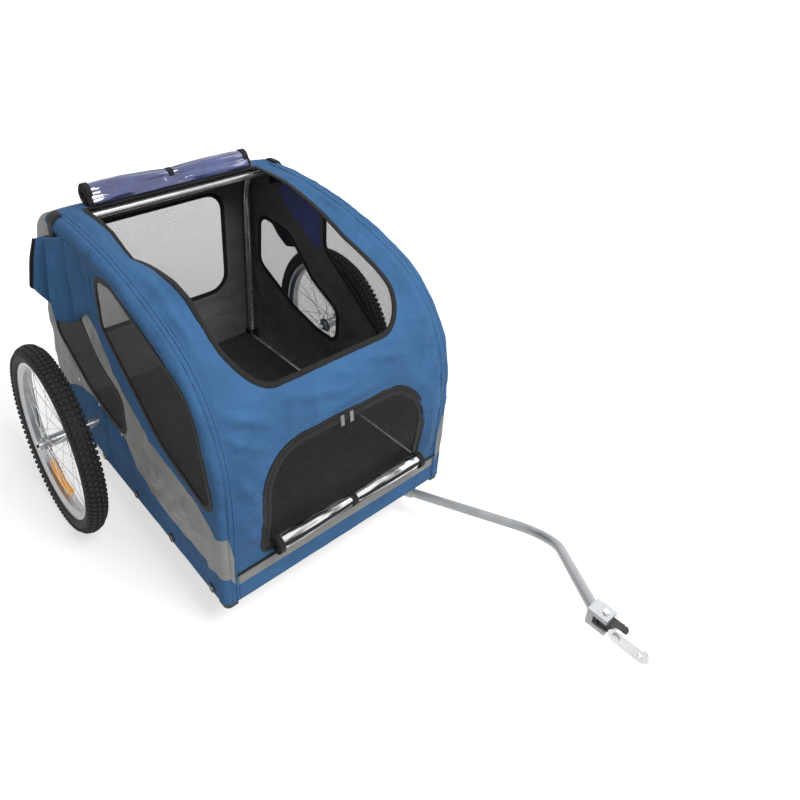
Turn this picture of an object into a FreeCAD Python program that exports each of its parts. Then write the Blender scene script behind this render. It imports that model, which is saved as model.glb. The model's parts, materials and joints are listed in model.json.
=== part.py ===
import FreeCAD, Part
import math
import os

# Pet bicycle trailer: a tube frame under a sewn cover, two spoked wheels and a bent tow arm.
# Millimetres. +Z up, the trailer is towed towards -Y, its right side is at -X.
# Shapes are worked out from the wheel axle's middle, above the ground at z = 0, and every
# exported solid is then moved so that the origin lies under the middle of the whole trailer.

V = FreeCAD.Vector
X_AXIS = V(1, 0, 0)
Z_AXIS = V(0, 0, 1)

# Wheels
wheel_radius = 248.0
tyre_width = 50.0
tyre_height = 48.0
tyre_wall = 5.0
tube_wall = 2.0
rim_flange_radius = 210.0
rim_flange = 3.5
rim_bed_radius = 204.0
rim_width = 35.0
rim_side_radius = 199.0
rim_inner_radius = 188.0
rim_inner_width = 20.0
wheel_standoff = 118.0
spokes_per_wheel = 28
spoke_radius = 1.0
spoke_seat = 1.5
spoke_lean = 52.0
flange_spread = 26.0
flange_radius = 22.0
flange_thickness = 3.0
spoke_circle = 18.5
hub_radius = 15.0
hub_length = 70.0
bearing_radius = 11.0
bearing_width = 9.0
hub_bore_radius = 9.0
axle_radius = 6.3
axle_collar_radius = 11.0
axle_collar = 10.0
running_clearance = 0.06
button_radius = 4.0
button_length = 14.0
button_reach = 5.0
button_travel = 4.0
reflector_radius = 155.0
reflector_arc = 46.0
reflector_height = 15.0
reflector_thickness = 13.0
reflector_angle = 280.0

# Body
body_width = 660.0
body_front = 583.0
body_length = 855.0
body_bottom = 110.0
body_height = 668.0
front_low_radius = 300.0
dome_radius = 1184.0
roof_flat = 65.0
rear_radius = 150.0
cloth = 2.0
mesh_thickness = 1.0
soft_gap = 0.3

# Tube frame
frame_tube_radius = 11.0
frame_tube_wall = 1.5
foot_wall = 4.0
foot_drop = 12.0
foot_height = 45.0
foot_flat = 1.0
rail_height = 14.0
socket_clearance = 0.05
socket_stop = 12.0
floor_thickness = 6.0
floor_margin = 1.0
cross_bar_inset = 155.0
cross_bar_drop = 23.0
connector_depth = 44.0
connector_cover = 3.0
connector_drop = 56.0
connector_reach = 46.0
connector_proud = 4.0

# Wheel brackets
bracket_plate = 4.0
bracket_ahead = 24.0
bracket_behind = 52.0
bracket_tongue_start = 16.0
bracket_tongue = 40.0
bracket_above_axle = 20.0
axle_socket_length = 40.0
axle_socket_wall = 5.0
bracket_lip = 28.0

# Openings in the cover
opening_front = 52.0
opening_rear_inset = 165.0
roof_strip_front = 104.0
roof_strip_rear = 78.0
opening_corner = 85.0
opening_rear_corner = 4.0
door_margin = 102.0
door_bottom = 100.0
door_rise = 53.0
door_corner = 110.0
door_low_corner = 18.0
rear_window_margin = 95.0
rear_window_bottom = 220.0
rear_window_drop = 116.0
rear_window_corner = 60.0

# Front side window: distance back from the front, height or depth below the roof, corner radius
front_window_low = [(232.0, 290.0, 250.0), (15.0, 232.0, 35.0)]
front_window_high = [(78.0, 178.0, 120.0), (395.0, 60.0, 90.0), (478.0, 68.0, 35.0), (480.0, 196.0, 50.0)]
# Rear side window: distance ahead of the rear, height above the bottom edge, corner radius
rear_window_outline = [(435.0, 188.0, 35.0), (437.0, 298.0, 45.0), (325.0, 350.0, 150.0),
                       (215.0, 460.0, 70.0), (63.0, 474.0, 40.0), (53.0, 305.0, 45.0),
                       (230.0, 220.0, 200.0), (340.0, 192.0, 120.0)]

# Rolled covers, pouches and fasteners
roof_roll_radius = 30.0
roof_roll_margin = 92.0
roof_roll_turn = 6.0
front_roll_radius = 18.0
front_roll_margin = 10.0
front_roll_above_hinge = 28.0
strap_thickness = 1.5
strap_gap = 0.2
roof_strap_width = 26.0
front_strap_width = 24.0
strap_end_inset = 14.0
pouch_drop = 40.0
pouch_height = 223.0
pouch_slant = 70.0
# Folds of the pouch: distance ahead of the rear, depth
pouch_pleats = [(350.0, 1.0), (290.0, 24.0), (263.0, 17.0), (200.0, 46.0), (171.0, 37.0), (107.0, 62.0)]
snap_radius = 8.0
snap_height = 3.0
snap_first = 52.0
snap_pitch = 178.0
snap_count = 4
snap_level = 14.0
rivet_radius = 4.5
rivet_height = 2.0
# Rivets: distance ahead of the rear, height
rivet_places = [(407.0, 178.0), (283.0, 194.0), (162.0, 205.0)]
zip_pull_size = (10.0, 3.0, 26.0)
zip_pull_spread = 16.0
zip_pull_hang = 24.0

# Tow arm, from its socket under the floor to the hitch
arm_tube_radius = 11.0
arm_tube_wall = 2.0
arm_inset = 91.0
arm_height = 92.0
arm_corner_out = 129.0
arm_corner_ahead = 322.0
arm_corner_rise = 30.0
arm_end_in = 139.0
arm_end_ahead = 567.0
arm_end_rise = 226.0
arm_bend_radius = 130.0
arm_inside = 95.0
receiver_start = 6.0
receiver_length = 82.0
receiver_wall = 3.0
saddle_width = 28.0
saddle_depth = 24.0
saddle_wrap = 7.0
tow_pin_radius = 4.0
tow_pin_back = 50.0
tow_pin_head_radius = 8.0
tow_pin_head = 5.0
tow_pin_spare = 6.0

# Hitch
fork_width = 32.0
fork_height = 36.0
fork_back = 12.0
fork_reach = 26.0
fork_slot = 18.0
hitch_pin_radius = 5.0
hitch_pin_ahead = 14.0
hitch_pin_spare = 4.0
block_width = 22.0
block_round = 11.0
hitch_bolt_radius = 4.0
hitch_bolt_ahead = 46.0
hitch_bolt_head_radius = 7.0
hitch_bolt_head = 4.0
plate_thickness = 5.0
plate_round = 15.0
axle_hole_ahead = 44.0
axle_hole_radius = 5.1

# Places that follow from the sizes above
half_width = body_width / 2
inner_half_width = half_width - cloth - soft_gap
frame_x = inner_half_width - foot_wall - frame_tube_radius
frame_inset = cloth + soft_gap + foot_wall + frame_tube_radius
rail_z = body_bottom + rail_height
front_y = -body_front
hub_half = hub_length / 2
wheel_plane = half_width + wheel_standoff
roof_start = body_length - rear_radius - roof_flat
dome_reach = math.sqrt((dome_radius - front_low_radius) ** 2 - (roof_start - front_low_radius) ** 2)
front_straight = body_height - dome_radius + dome_reach
cross_bar_back = body_length - cross_bar_inset
cross_bar_height = body_height - cross_bar_drop
connector_top = body_height - cloth - connector_cover
connector_bottom = body_height - connector_drop
opening_rear = body_length - opening_rear_inset
opening_half_front = half_width - roof_strip_front
opening_half_rear = half_width - roof_strip_rear
door_half_width = half_width - door_margin
door_top = front_straight + door_rise
rear_window_half_width = half_width - rear_window_margin
rear_window_top = body_height - rear_window_drop
front_window = front_window_low[1:]
front_window += [(back, body_height - drop, radius) for back, drop, radius in front_window_high]
front_window += front_window_low[:1]
rear_window = [(body_length - ahead, height, radius) for ahead, height, radius in rear_window_outline]
roof_roll_half_length = half_width - roof_roll_margin
front_roll_half_length = door_half_width - front_roll_margin
front_roll_height = door_bottom + front_roll_above_hinge
pouch_top = body_height - pouch_drop
pouch_bottom = pouch_top - pouch_height
pouch_folds = [(body_length - ahead, depth) for ahead, depth in pouch_pleats]
arm_mouth = V(half_width - arm_inset, front_y, arm_height)
arm_corner = arm_mouth + V(arm_corner_out, -arm_corner_ahead, arm_corner_rise)
arm_end = arm_mouth + V(-arm_end_in, -arm_end_ahead, arm_end_rise)
plate_front = arm_end.y - hitch_bolt_ahead - axle_hole_ahead - plate_round
origin_y = (plate_front + body_length - body_front) / 2

os.makedirs("parts", exist_ok=True)


def put(name, shape):
    """Export one node, seen from the trailer's origin."""
    placed = shape.translated(V(0, -origin_y, 0))
    placed.exportStep("parts/" + name + ".step")


def group(shapes):
    return Part.makeCompound(shapes)


def at(back, height, x=0.0):
    """Point of the body: back from its front face, up from its bottom edge."""
    return V(x, front_y + back, body_bottom + height)


def rod(start, end, radius):
    return Part.makeCylinder(radius, (end - start).Length, start, end - start)


def box(low, high):
    return Part.makeBox(high.x - low.x, high.y - low.y, high.z - low.z, low)


def pipe(path, radius):
    """Round bar along a wire of lines and arcs."""
    edge = path.Edges[0]
    start = edge.valueAt(edge.FirstParameter)
    ring = Part.Wire(Part.makeCircle(radius, start, edge.tangentAt(edge.FirstParameter)))
    return Part.Solid(path.makePipeShell([ring], True, False).Shells[0])


def rounded_wire(corners, place):
    """Closed outline of straight sides, each corner (a, b, radius) rounded, laid out by place(a, b)."""
    count = len(corners)
    flat = [V(a, b, 0) for a, b, radius in corners]
    starts, mids, ends = [], [], []
    for i in range(count):
        before = (flat[i - 1] - flat[i]).normalize()
        after = (flat[(i + 1) % count] - flat[i]).normalize()
        half_angle = before.getAngle(after) / 2
        cut = corners[i][2] / math.tan(half_angle)
        middle = (before + after).normalize()
        centre = flat[i] + middle * (corners[i][2] / math.sin(half_angle))
        starts.append(flat[i] + before * cut)
        mids.append(centre - middle * corners[i][2])
        ends.append(flat[i] + after * cut)
    edges = []
    for i in range(count):
        a, m, b = (place(p.x, p.y) for p in (starts[i], mids[i], ends[i]))
        edges.append(Part.Arc(a, m, b).toShape())
        following = starts[(i + 1) % count]
        edges.append(Part.LineSegment(b, place(following.x, following.y)).toShape())
    return Part.Wire(edges)


def profile_points(inset):
    """Corners of the body's side profile, drawn in by inset, and the middles of its arcs."""
    low_centre = V(front_low_radius, front_straight, 0)
    dome_centre = V(roof_start, body_height - dome_radius, 0)
    towards = (low_centre - dome_centre).normalize()
    low_angle = math.atan2(towards.y, towards.x)
    rear_centre = V(body_length - rear_radius, body_height - rear_radius, 0)

    def on(centre, radius, angle):
        return centre + V(math.cos(angle), math.sin(angle), 0) * (radius - inset)

    return {
        "front": V(inset, front_straight, 0),
        "front_mid": on(low_centre, front_low_radius, (low_angle + math.pi) / 2),
        "joint": on(low_centre, front_low_radius, low_angle),
        "roof_mid": on(dome_centre, dome_radius, (low_angle + math.pi / 2) / 2),
        "roof": V(roof_start, body_height - inset, 0),
        "top": V(rear_centre.x, body_height - inset, 0),
        "rear_mid": on(rear_centre, rear_radius, math.pi / 4),
        "rear": V(body_length - inset, rear_centre.y, 0),
        "rear_centre": rear_centre,
    }


def profile_edges(inset, x, stretches, bottom=0.0):
    """Edges of the named stretches of the body's profile, in the plane at x."""
    p = profile_points(inset)

    def spot(point):
        return at(point.x, point.y, x)

    made = {
        "front": lambda: Part.LineSegment(at(inset, bottom, x), spot(p["front"])),
        "brow": lambda: Part.Arc(spot(p["front"]), spot(p["front_mid"]), spot(p["joint"])),
        "dome": lambda: Part.Arc(spot(p["joint"]), spot(p["roof_mid"]), spot(p["roof"])),
        "roof": lambda: Part.LineSegment(spot(p["roof"]), spot(p["top"])),
        "corner": lambda: Part.Arc(spot(p["top"]), spot(p["rear_mid"]), spot(p["rear"])),
        "rear": lambda: Part.LineSegment(spot(p["rear"]), at(body_length - inset, bottom, x)),
    }
    return [made[name]().toShape() for name in stretches]


def sheet(stretches, outer, inner, low_x, high_x):
    """Sheet of cloth over the body, between two depths below its outside."""
    top = profile_edges(outer, low_x, stretches)
    under = profile_edges(inner, low_x, stretches)
    first, last = top[0], top[-1]
    start = first.valueAt(first.FirstParameter)
    end = last.valueAt(last.LastParameter)
    inner_start = under[0].valueAt(under[0].FirstParameter)
    inner_end = under[-1].valueAt(under[-1].LastParameter)
    edges = top + [Part.LineSegment(end, inner_end).toShape()]
    edges += under + [Part.LineSegment(inner_start, start).toShape()]
    wire = Part.Wire(Part.__sortEdges__(edges))
    return Part.Face(wire).extrude(V(high_x - low_x, 0, 0))


def hollow(make, radius, wall, *place):
    """Tube: the bar that make draws, less the bar of its bore."""
    return make(radius, *place).cut(make(radius - wall, *place))


def mirrored(shape):
    return shape.mirror(V(0, 0, 0), X_AXIS)


def pair(name, shape):
    """Export a right-hand shape and its left-hand mirror image."""
    put("right_" + name, shape)
    put("left_" + name, mirrored(shape))


# Wheels: right-hand shapes, with the wheel's middle at x = -wheel_plane
axle_middle = V(-wheel_plane, 0, wheel_radius)


def ring(points):
    """Solid of revolution about the axle, from (across, radius) corners."""
    flat = [axle_middle + V(across, 0, radius) for across, radius in points]
    face = Part.Face(Part.makePolygon(flat + flat[:1]))
    return face.revolve(axle_middle, X_AXIS, 360)


def oval_ring(half_width_across, half_height):
    """Tyre-like ring with an oval section."""
    middle = axle_middle + V(0, 0, wheel_radius - tyre_height / 2)
    oval = Part.Ellipse(middle + V(half_width_across, 0, 0), middle + V(0, 0, half_height), middle)
    return Part.Face(Part.Wire(oval.toShape())).revolve(axle_middle, X_AXIS, 360)


def disc(low, high, radius, hole=0.0):
    """Round piece on the axle's line, between two distances across from the wheel's middle."""
    piece = Part.makeCylinder(radius, high - low, axle_middle + V(low, 0, 0), X_AXIS)
    if hole:
        piece = piece.cut(Part.makeCylinder(hole, high - low, axle_middle + V(low, 0, 0), X_AXIS))
    return piece


def make_tyre():
    carcass = oval_ring(tyre_width / 2, tyre_height / 2)
    carcass = carcass.cut(oval_ring(tyre_width / 2 - tyre_wall, tyre_height / 2 - tyre_wall))
    seat = disc(-tyre_width, tyre_width, rim_flange_radius + soft_gap)
    return carcass.cut(seat)


def make_inner_tube():
    inset = tyre_wall + soft_gap
    skin = oval_ring(tyre_width / 2 - inset, tyre_height / 2 - inset)
    inset += tube_wall
    return skin.cut(oval_ring(tyre_width / 2 - inset, tyre_height / 2 - inset))


def make_rim():
    half = rim_width / 2
    bed = half - rim_flange
    inner = rim_inner_width / 2
    return ring([(-half, rim_flange_radius), (-bed, rim_flange_radius), (-bed, rim_bed_radius),
                 (bed, rim_bed_radius), (bed, rim_flange_radius), (half, rim_flange_radius),
                 (half, rim_side_radius), (inner, rim_inner_radius), (-inner, rim_inner_radius),
                 (-half, rim_side_radius)])


def make_hub():
    hub = disc(-hub_half, hub_half, hub_radius)
    for side in (-1, 1):
        low = side * flange_spread - flange_thickness / 2
        hub = hub.fuse(disc(low, low + flange_thickness, flange_radius))
    hub = hub.cut(disc(-hub_half, hub_half, hub_bore_radius))
    for low in (-hub_half, hub_half - bearing_width):
        hub = hub.cut(disc(low, low + bearing_width, bearing_radius + socket_clearance))
    return hub.removeSplitter()


def make_bearings():
    hole = axle_radius + running_clearance
    return group([disc(low, low + bearing_width, bearing_radius, hole)
                  for low in (-hub_half, hub_half - bearing_width)])


def on_wheel(across, radius, turn):
    """Point of the wheel: across from its middle, out from the axle, turned from straight up."""
    return axle_middle + V(across, radius * math.sin(turn), radius * math.cos(turn))


def make_spokes():
    """Spokes laced in pairs that lean forwards and backwards from the two hub flanges."""
    spokes = []
    step = 360.0 / spokes_per_wheel
    for i in range(spokes_per_wheel):
        side = 1 if i % 2 else -1
        lean = spoke_lean if (i // 2) % 2 else -spoke_lean
        rim_turn = math.radians(i * step)
        hub_turn = rim_turn + math.radians(lean)
        from_flange = flange_thickness / 2 + spoke_radius - spoke_seat / 2
        offset = flange_spread + math.copysign(from_flange, lean)
        start = on_wheel(side * offset, spoke_circle, hub_turn)
        end = on_wheel(side * spoke_radius * 2, rim_inner_radius + spoke_seat, rim_turn)
        spokes.append(rod(start, end, spoke_radius))
    return group(spokes)


def make_reflector():
    """Curved plate clipped among the spokes near the rim."""
    half = reflector_thickness / 2
    low = reflector_radius - reflector_height / 2
    high = reflector_radius + reflector_height / 2
    plate = ring([(-half, low), (half, low), (half, high), (-half, high)])
    reach = wheel_radius
    start = math.radians(reflector_angle - reflector_arc / 2)
    middle = math.radians(reflector_angle)
    end = math.radians(reflector_angle + reflector_arc / 2)
    corners = [axle_middle + V(-reach, 0, 0)]
    for turn in (start, middle, end):
        corners.append(axle_middle + V(-reach, reach * math.cos(turn), reach * math.sin(turn)))
    wedge = Part.Face(Part.makePolygon(corners + corners[:1])).extrude(V(2 * reach, 0, 0))
    return plate.common(wedge)


def make_axle():
    """Stub axle: from its socket on the frame, through the hub, to a collar outside the wheel."""
    inner_end = V(-half_width - soft_gap - bracket_plate, 0, wheel_radius)
    outer_face = axle_middle + V(-hub_half - soft_gap, 0, 0)
    axle = rod(inner_end, outer_face, axle_radius)
    collar_end = outer_face + V(-axle_collar, 0, 0)
    axle = axle.fuse(rod(outer_face, collar_end, axle_collar_radius))
    button_hole = rod(collar_end, collar_end + V(button_length, 0, 0), button_radius + running_clearance)
    return axle.cut(button_hole).removeSplitter()


def make_button():
    """Push button in the end of the stub axle, with room behind it for its travel."""
    face = axle_middle + V(-hub_half - soft_gap - axle_collar - button_reach, 0, 0)
    return rod(face, face + V(button_length - button_travel, 0, 0), button_radius)


pair("tyre", make_tyre())
pair("inner_tube", make_inner_tube())
pair("rim", make_rim())
pair("hub", make_hub())
pair("bearings", make_bearings())
pair("spokes", make_spokes())
pair("reflector", make_reflector())
pair("axle", make_axle())
pair("release_button", make_button())

# Tube frame
rail_front = frame_inset + socket_stop
rail_rear = body_length - frame_inset - socket_stop
cross_half = frame_x - socket_stop
hoop_bottom = rail_height + socket_stop


def hoop(radius, x):
    names = ["front", "brow", "dome", "roof", "corner", "rear"]
    return pipe(Part.Wire(profile_edges(frame_inset, x, names, hoop_bottom)), radius)


def rail(radius, x):
    return rod(at(rail_front, rail_height, x), at(rail_rear, rail_height, x), radius)


def cross_tube(radius, back, reach):
    return rod(at(back, rail_height, -reach), at(back, rail_height, reach), radius)


def cross_bar(radius):
    reach = half_width - connector_reach + connector_proud + socket_stop
    left_end = at(cross_bar_back, cross_bar_height, reach)
    return rod(at(cross_bar_back, cross_bar_height, -reach), left_end, radius)


def foot(x, back):
    """Corner block, rounded at the upright edge that the cover turns round."""
    half = frame_tube_radius + foot_wall
    block = box(at(back - half, -foot_drop, x - half), at(back + half, foot_height, x + half))
    outer = at(back + math.copysign(half, back - body_length / 2), 0.0, x + math.copysign(half, x))
    edges = [e for e in block.Edges if e.isInside(V(outer.x, outer.y, e.CenterOfMass.z), soft_gap, True)]
    upright = [e for e in edges if e.BoundBox.ZLength > half]
    return block.makeFillet(half - foot_flat, upright)


tube_hole = frame_tube_radius + socket_clearance
corner_backs = (frame_inset, body_length - frame_inset)
tube_holes = group([hoop(tube_hole, side * frame_x) for side in (-1, 1)]
                   + [rail(tube_hole, side * frame_x) for side in (-1, 1)]
                   + [cross_tube(tube_hole, back, cross_half) for back in corner_backs])
feet = []
for x in (-frame_x, frame_x):
    for back in corner_backs:
        feet.append(foot(x, back).cut(tube_holes))
put("corner_feet", group(feet))

pair("side_hoop", hollow(hoop, frame_tube_radius, frame_tube_wall, -frame_x))
pair("base_rail", hollow(rail, frame_tube_radius, frame_tube_wall, -frame_x))
axle_back = body_front
mid_half = frame_x - frame_tube_radius - soft_gap
cross_places = [(back, cross_half) for back in corner_backs] + [(axle_back, mid_half)]
put("base_cross_tubes", group([hollow(cross_tube, frame_tube_radius, frame_tube_wall, back, reach)
                               for back, reach in cross_places]))
put("top_cross_bar", hollow(cross_bar, frame_tube_radius, frame_tube_wall))

floor_low = rail_height + frame_tube_radius + soft_gap
floor_half = frame_x - frame_tube_radius - foot_wall - floor_margin
floor_end = cloth + soft_gap + foot_wall
put("floor_board", box(at(floor_end, floor_low, -floor_half),
                       at(body_length - floor_end, floor_low + floor_thickness, floor_half)))


def connector_box(spare):
    """Block at the top rear corner of the right side, grown by spare."""
    outside = -half_width - connector_proud
    low = at(cross_bar_back - connector_depth / 2, connector_bottom, outside)
    high = at(cross_bar_back + connector_depth / 2, connector_top, outside + connector_reach)
    grow = V(spare, spare, spare)
    return box(low - grow, high + grow)


def make_connector():
    block = connector_box(0.0)
    outer = [e for e in block.Edges if abs(e.BoundBox.Center.x - block.BoundBox.XMin) < 1]
    block = block.makeFillet(connector_proud, outer)
    return block.cut(group([hoop(tube_hole, -frame_x), cross_bar(tube_hole)]))


pair("top_connector", make_connector())
connector_space = group([connector_box(soft_gap), mirrored(connector_box(soft_gap))])


def make_wheel_bracket():
    """Steel plate outside the cover, hooked under the base rail, with a socket for the stub axle."""
    outer = -half_width - soft_gap
    low_z = body_bottom - soft_gap - bracket_plate
    near, far = bracket_tongue_start, bracket_behind
    plate_z = body_bottom + bracket_tongue
    plate_top = wheel_radius + bracket_above_axle
    plate = box(V(outer - bracket_plate, -bracket_ahead, plate_z), V(outer, far, plate_top))
    tongue = box(V(outer - bracket_plate, near, low_z), V(outer, far, plate_z))
    lip = box(V(outer, near, low_z), V(outer + bracket_lip, far, low_z + bracket_plate))
    rest_half = frame_tube_radius / 2
    rest = box(V(-frame_x - rest_half, near, low_z), V(-frame_x + rest_half, far, rail_z - rest_half))
    bracket = plate.fuse([tongue, lip, rest]).cut(rail(tube_hole, -frame_x))
    start = V(outer - bracket_plate, 0, wheel_radius)
    end = start - V(axle_socket_length, 0, 0)
    bracket = bracket.fuse(rod(start, end, axle_radius + axle_socket_wall))
    return bracket.cut(rod(start, end, axle_radius + socket_clearance)).removeSplitter()


pair("wheel_bracket", make_wheel_bracket())


# Sewn cover
def side_window(corners, inset, thickness):
    """Right-hand window: a plate of the outline drawn in by inset, in the middle of the side cloth."""
    face = Part.Face(rounded_wire(corners, lambda a, b: at(a, b, -half_width)))
    if inset:
        face = face.makeOffset2D(-inset)
    return face.extrude(V(thickness, 0, 0))


def make_side_panel():
    names = ["front", "brow", "dome", "roof", "corner", "rear"]
    edges = profile_edges(0.0, -half_width, names)
    edges.append(Part.LineSegment(at(body_length, 0, -half_width), at(0, 0, -half_width)).toShape())
    panel = Part.Face(Part.Wire(edges)).extrude(V(cloth, 0, 0))
    for corners in (front_window, rear_window):
        panel = panel.cut(side_window(corners, 0.0, cloth))
    return panel.cut(connector_space)


pair("side_panel", make_side_panel())
mesh_inset = (cloth - mesh_thickness) / 2
for window_name, corners in (("front_window", front_window), ("rear_window", rear_window)):
    mesh = side_window(corners, soft_gap, mesh_thickness)
    pair(window_name, mesh.translated(V(mesh_inset, 0, 0)))


def upright_cut(corners, low_back, high_back):
    """Block through the front or rear wall: outline of (x, height, radius) corners."""
    face = Part.Face(rounded_wire(corners, lambda a, b: at(low_back, b, a)))
    return face.extrude(V(0, high_back - low_back, 0))


def roof_opening():
    """Block through the roof and the brow, seen from above."""
    corners = [(-opening_half_front, opening_front, opening_corner),
               (opening_half_front, opening_front, opening_corner),
               (opening_half_rear, opening_rear, opening_rear_corner),
               (-opening_half_rear, opening_rear, opening_rear_corner)]
    face = Part.Face(rounded_wire(corners, lambda a, b: at(b, front_straight, a)))
    return face.extrude(V(0, 0, body_height))


def door_corners(inset):
    half = door_half_width - inset
    return [(-half, door_bottom + inset, door_low_corner), (half, door_bottom + inset, door_low_corner),
            (half, door_top - inset, door_corner), (-half, door_top - inset, door_corner)]


def rear_corners(inset):
    half = rear_window_half_width - inset
    low, high = rear_window_bottom + inset, rear_window_top - inset
    return [(-half, low, rear_window_corner), (half, low, rear_window_corner),
            (half, high, rear_window_corner), (-half, high, rear_window_corner)]


wall_reach = front_low_radius / 2
opening_block = roof_opening()
front_panel = sheet(["front", "brow"], 0.0, cloth, -inner_half_width, inner_half_width)
front_panel = front_panel.cut(group([upright_cut(door_corners(0.0), -cloth, wall_reach), opening_block]))
put("front_panel", front_panel)

roof = sheet(["dome", "roof"], 0.0, cloth, -inner_half_width, inner_half_width)
roof = roof.cut(group([opening_block, connector_space]))
back_limit = box(at(opening_rear, 0.0, -body_width), at(body_length, 2 * body_height, body_width))
roof_strips = roof.cut(back_limit)
strips = sorted(roof_strips.Solids, key=lambda s: s.CenterOfMass.x)
put("right_roof_strip", strips[0])
put("left_roof_strip", strips[-1])

rear_cover = sheet(["roof", "corner", "rear"], 0.0, cloth, -inner_half_width, inner_half_width)
front_limit = box(at(0.0, 0.0, -body_width), at(opening_rear + soft_gap, 2 * body_height, body_width))
rear_hole = upright_cut(rear_corners(0.0), body_length - wall_reach, body_length + cloth)
put("rear_cover", rear_cover.cut(group([front_limit, rear_hole, connector_space])))

mesh_low, mesh_high = mesh_inset, mesh_inset + mesh_thickness
rear_mesh = sheet(["corner", "rear"], mesh_low, mesh_high, -inner_half_width, inner_half_width)
rear_mesh_block = upright_cut(rear_corners(soft_gap), body_length - wall_reach, body_length + cloth)
put("rear_window", rear_mesh.common(rear_mesh_block))

door_mesh = sheet(["front", "brow"], mesh_low, mesh_high, -inner_half_width, inner_half_width)
put("front_door", door_mesh.common(upright_cut(door_corners(soft_gap), -cloth, wall_reach)))

pull_x, pull_y, pull_z = zip_pull_size
pulls = []
for x in (-zip_pull_spread / 2 - pull_x, zip_pull_spread / 2):
    strip = sheet(["front", "brow"], -soft_gap - pull_y, -soft_gap, x, x + pull_x)
    pull_low = door_top - zip_pull_hang
    span = box(at(-wall_reach, pull_low, x), at(wall_reach, pull_low + pull_z, x + pull_x))
    pulls.append(strip.common(span))
put("zip_pulls", group(pulls))


# Rolled covers and the straps that hold them
def roll(radius, half_length, centre):
    start = centre - V(half_length, 0, 0)
    return rod(start, centre + V(half_length, 0, 0), radius)


def straps(radius, half_length, centre, width):
    """Bands round a roll: one at each end and one in the middle."""
    bands = []
    reach = half_length - strap_end_inset
    for x in (-reach, 0.0, reach):
        start = centre + V(x - width / 2, 0, 0)
        band = Part.makeCylinder(radius + strap_gap + strap_thickness, width, start, X_AXIS)
        bands.append(band.cut(Part.makeCylinder(radius + strap_gap, width, start, X_AXIS)))
    return group(bands)


strap_room = 2 * strap_gap + strap_thickness
rear_centre = profile_points(0.0)["rear_centre"]
roll_turn = math.radians(roof_roll_turn)
roll_distance = rear_radius + strap_room + roof_roll_radius
roof_roll_centre = at(rear_centre.x + roll_distance * math.sin(roll_turn),
                      rear_centre.y + roll_distance * math.cos(roll_turn))
put("roof_roll", roll(roof_roll_radius, roof_roll_half_length, roof_roll_centre))
put("roof_roll_straps", straps(roof_roll_radius, roof_roll_half_length, roof_roll_centre, roof_strap_width))

front_roll_centre = at(-strap_room - front_roll_radius, front_roll_height)
put("front_roll", roll(front_roll_radius, front_roll_half_length, front_roll_centre))
put("front_roll_straps",
    straps(front_roll_radius, front_roll_half_length, front_roll_centre, front_strap_width))


def make_pouch():
    """Pleated pouch on the outside of the side, deepest at its rear edge, with a slanted bottom."""
    wall = -half_width - soft_gap
    outline = [at(back, pouch_bottom, wall - depth) for back, depth in pouch_folds]
    first, last = pouch_folds[0][0], pouch_folds[-1][0]
    outline += [at(last, pouch_bottom, wall), at(first, pouch_bottom, wall)]
    body = Part.Face(Part.makePolygon(outline + outline[:1])).extrude(V(0, 0, pouch_top - pouch_bottom))
    deep = -half_width - body_width
    low_corner = [at(first, pouch_bottom, deep), at(last, pouch_bottom, deep)]
    low_corner.append(at(last, pouch_bottom + pouch_slant, deep))
    slant = Part.Face(Part.makePolygon(low_corner + low_corner[:1])).extrude(V(2 * body_width, 0, 0))
    return body.cut(slant).cut(connector_space)


pair("pouch", make_pouch())

studs = []
for side in (-1, 1):
    face_x = side * (half_width + soft_gap)
    for i in range(snap_count):
        centre = at(snap_first + i * snap_pitch, snap_level, face_x)
        studs.append(rod(centre, centre + V(side * snap_height, 0, 0), snap_radius))
put("snaps", group(studs))

rivets = []
for side in (-1, 1):
    face_x = side * (half_width + soft_gap)
    for ahead, height in rivet_places:
        centre = at(body_length - ahead, height, face_x)
        rivets.append(rod(centre, centre + V(side * rivet_height, 0, 0), rivet_radius))
put("rivets", group(rivets))

# Tow arm on the left side, its socket and its locking pin
arm_line = (arm_corner - arm_mouth).normalize()
arm_start = arm_mouth - arm_line * arm_inside


def arm_path():
    """Straight out of the socket, one bend, and straight on to the hitch."""
    back = (arm_start - arm_corner).normalize()
    ahead = (arm_end - arm_corner).normalize()
    half_angle = back.getAngle(ahead) / 2
    cut = arm_bend_radius / math.tan(half_angle)
    middle = (back + ahead).normalize()
    centre = arm_corner + middle * (arm_bend_radius / math.sin(half_angle))
    bend_start = arm_corner + back * cut
    bend_end = arm_corner + ahead * cut
    return Part.Wire([Part.LineSegment(arm_start, bend_start).toShape(),
                      Part.Arc(bend_start, centre - middle * arm_bend_radius, bend_end).toShape(),
                      Part.LineSegment(bend_end, arm_end).toShape()])


fork_block = box(arm_end - V(fork_width / 2, fork_reach, fork_height / 2),
                 arm_end + V(fork_width / 2, fork_back, fork_height / 2))
pin_across = arm_line.cross(Z_AXIS).normalize()
if pin_across.x < 0:
    pin_across = pin_across * -1
pin_middle = arm_mouth - arm_line * tow_pin_back
receiver_radius = arm_tube_radius + receiver_wall
pin_reach = receiver_radius + tow_pin_spare


def tow_pin_bar(radius):
    return rod(pin_middle - pin_across * pin_reach, pin_middle + pin_across * pin_reach, radius)


pin_hole = tow_pin_bar(tow_pin_radius + socket_clearance)


def arm_bar(radius):
    return pipe(arm_path(), radius)


tow_arm = hollow(arm_bar, arm_tube_radius, arm_tube_wall).cut(fork_block).cut(pin_hole)
put("tow_arm", max(tow_arm.Solids, key=lambda s: s.Volume))

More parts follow.
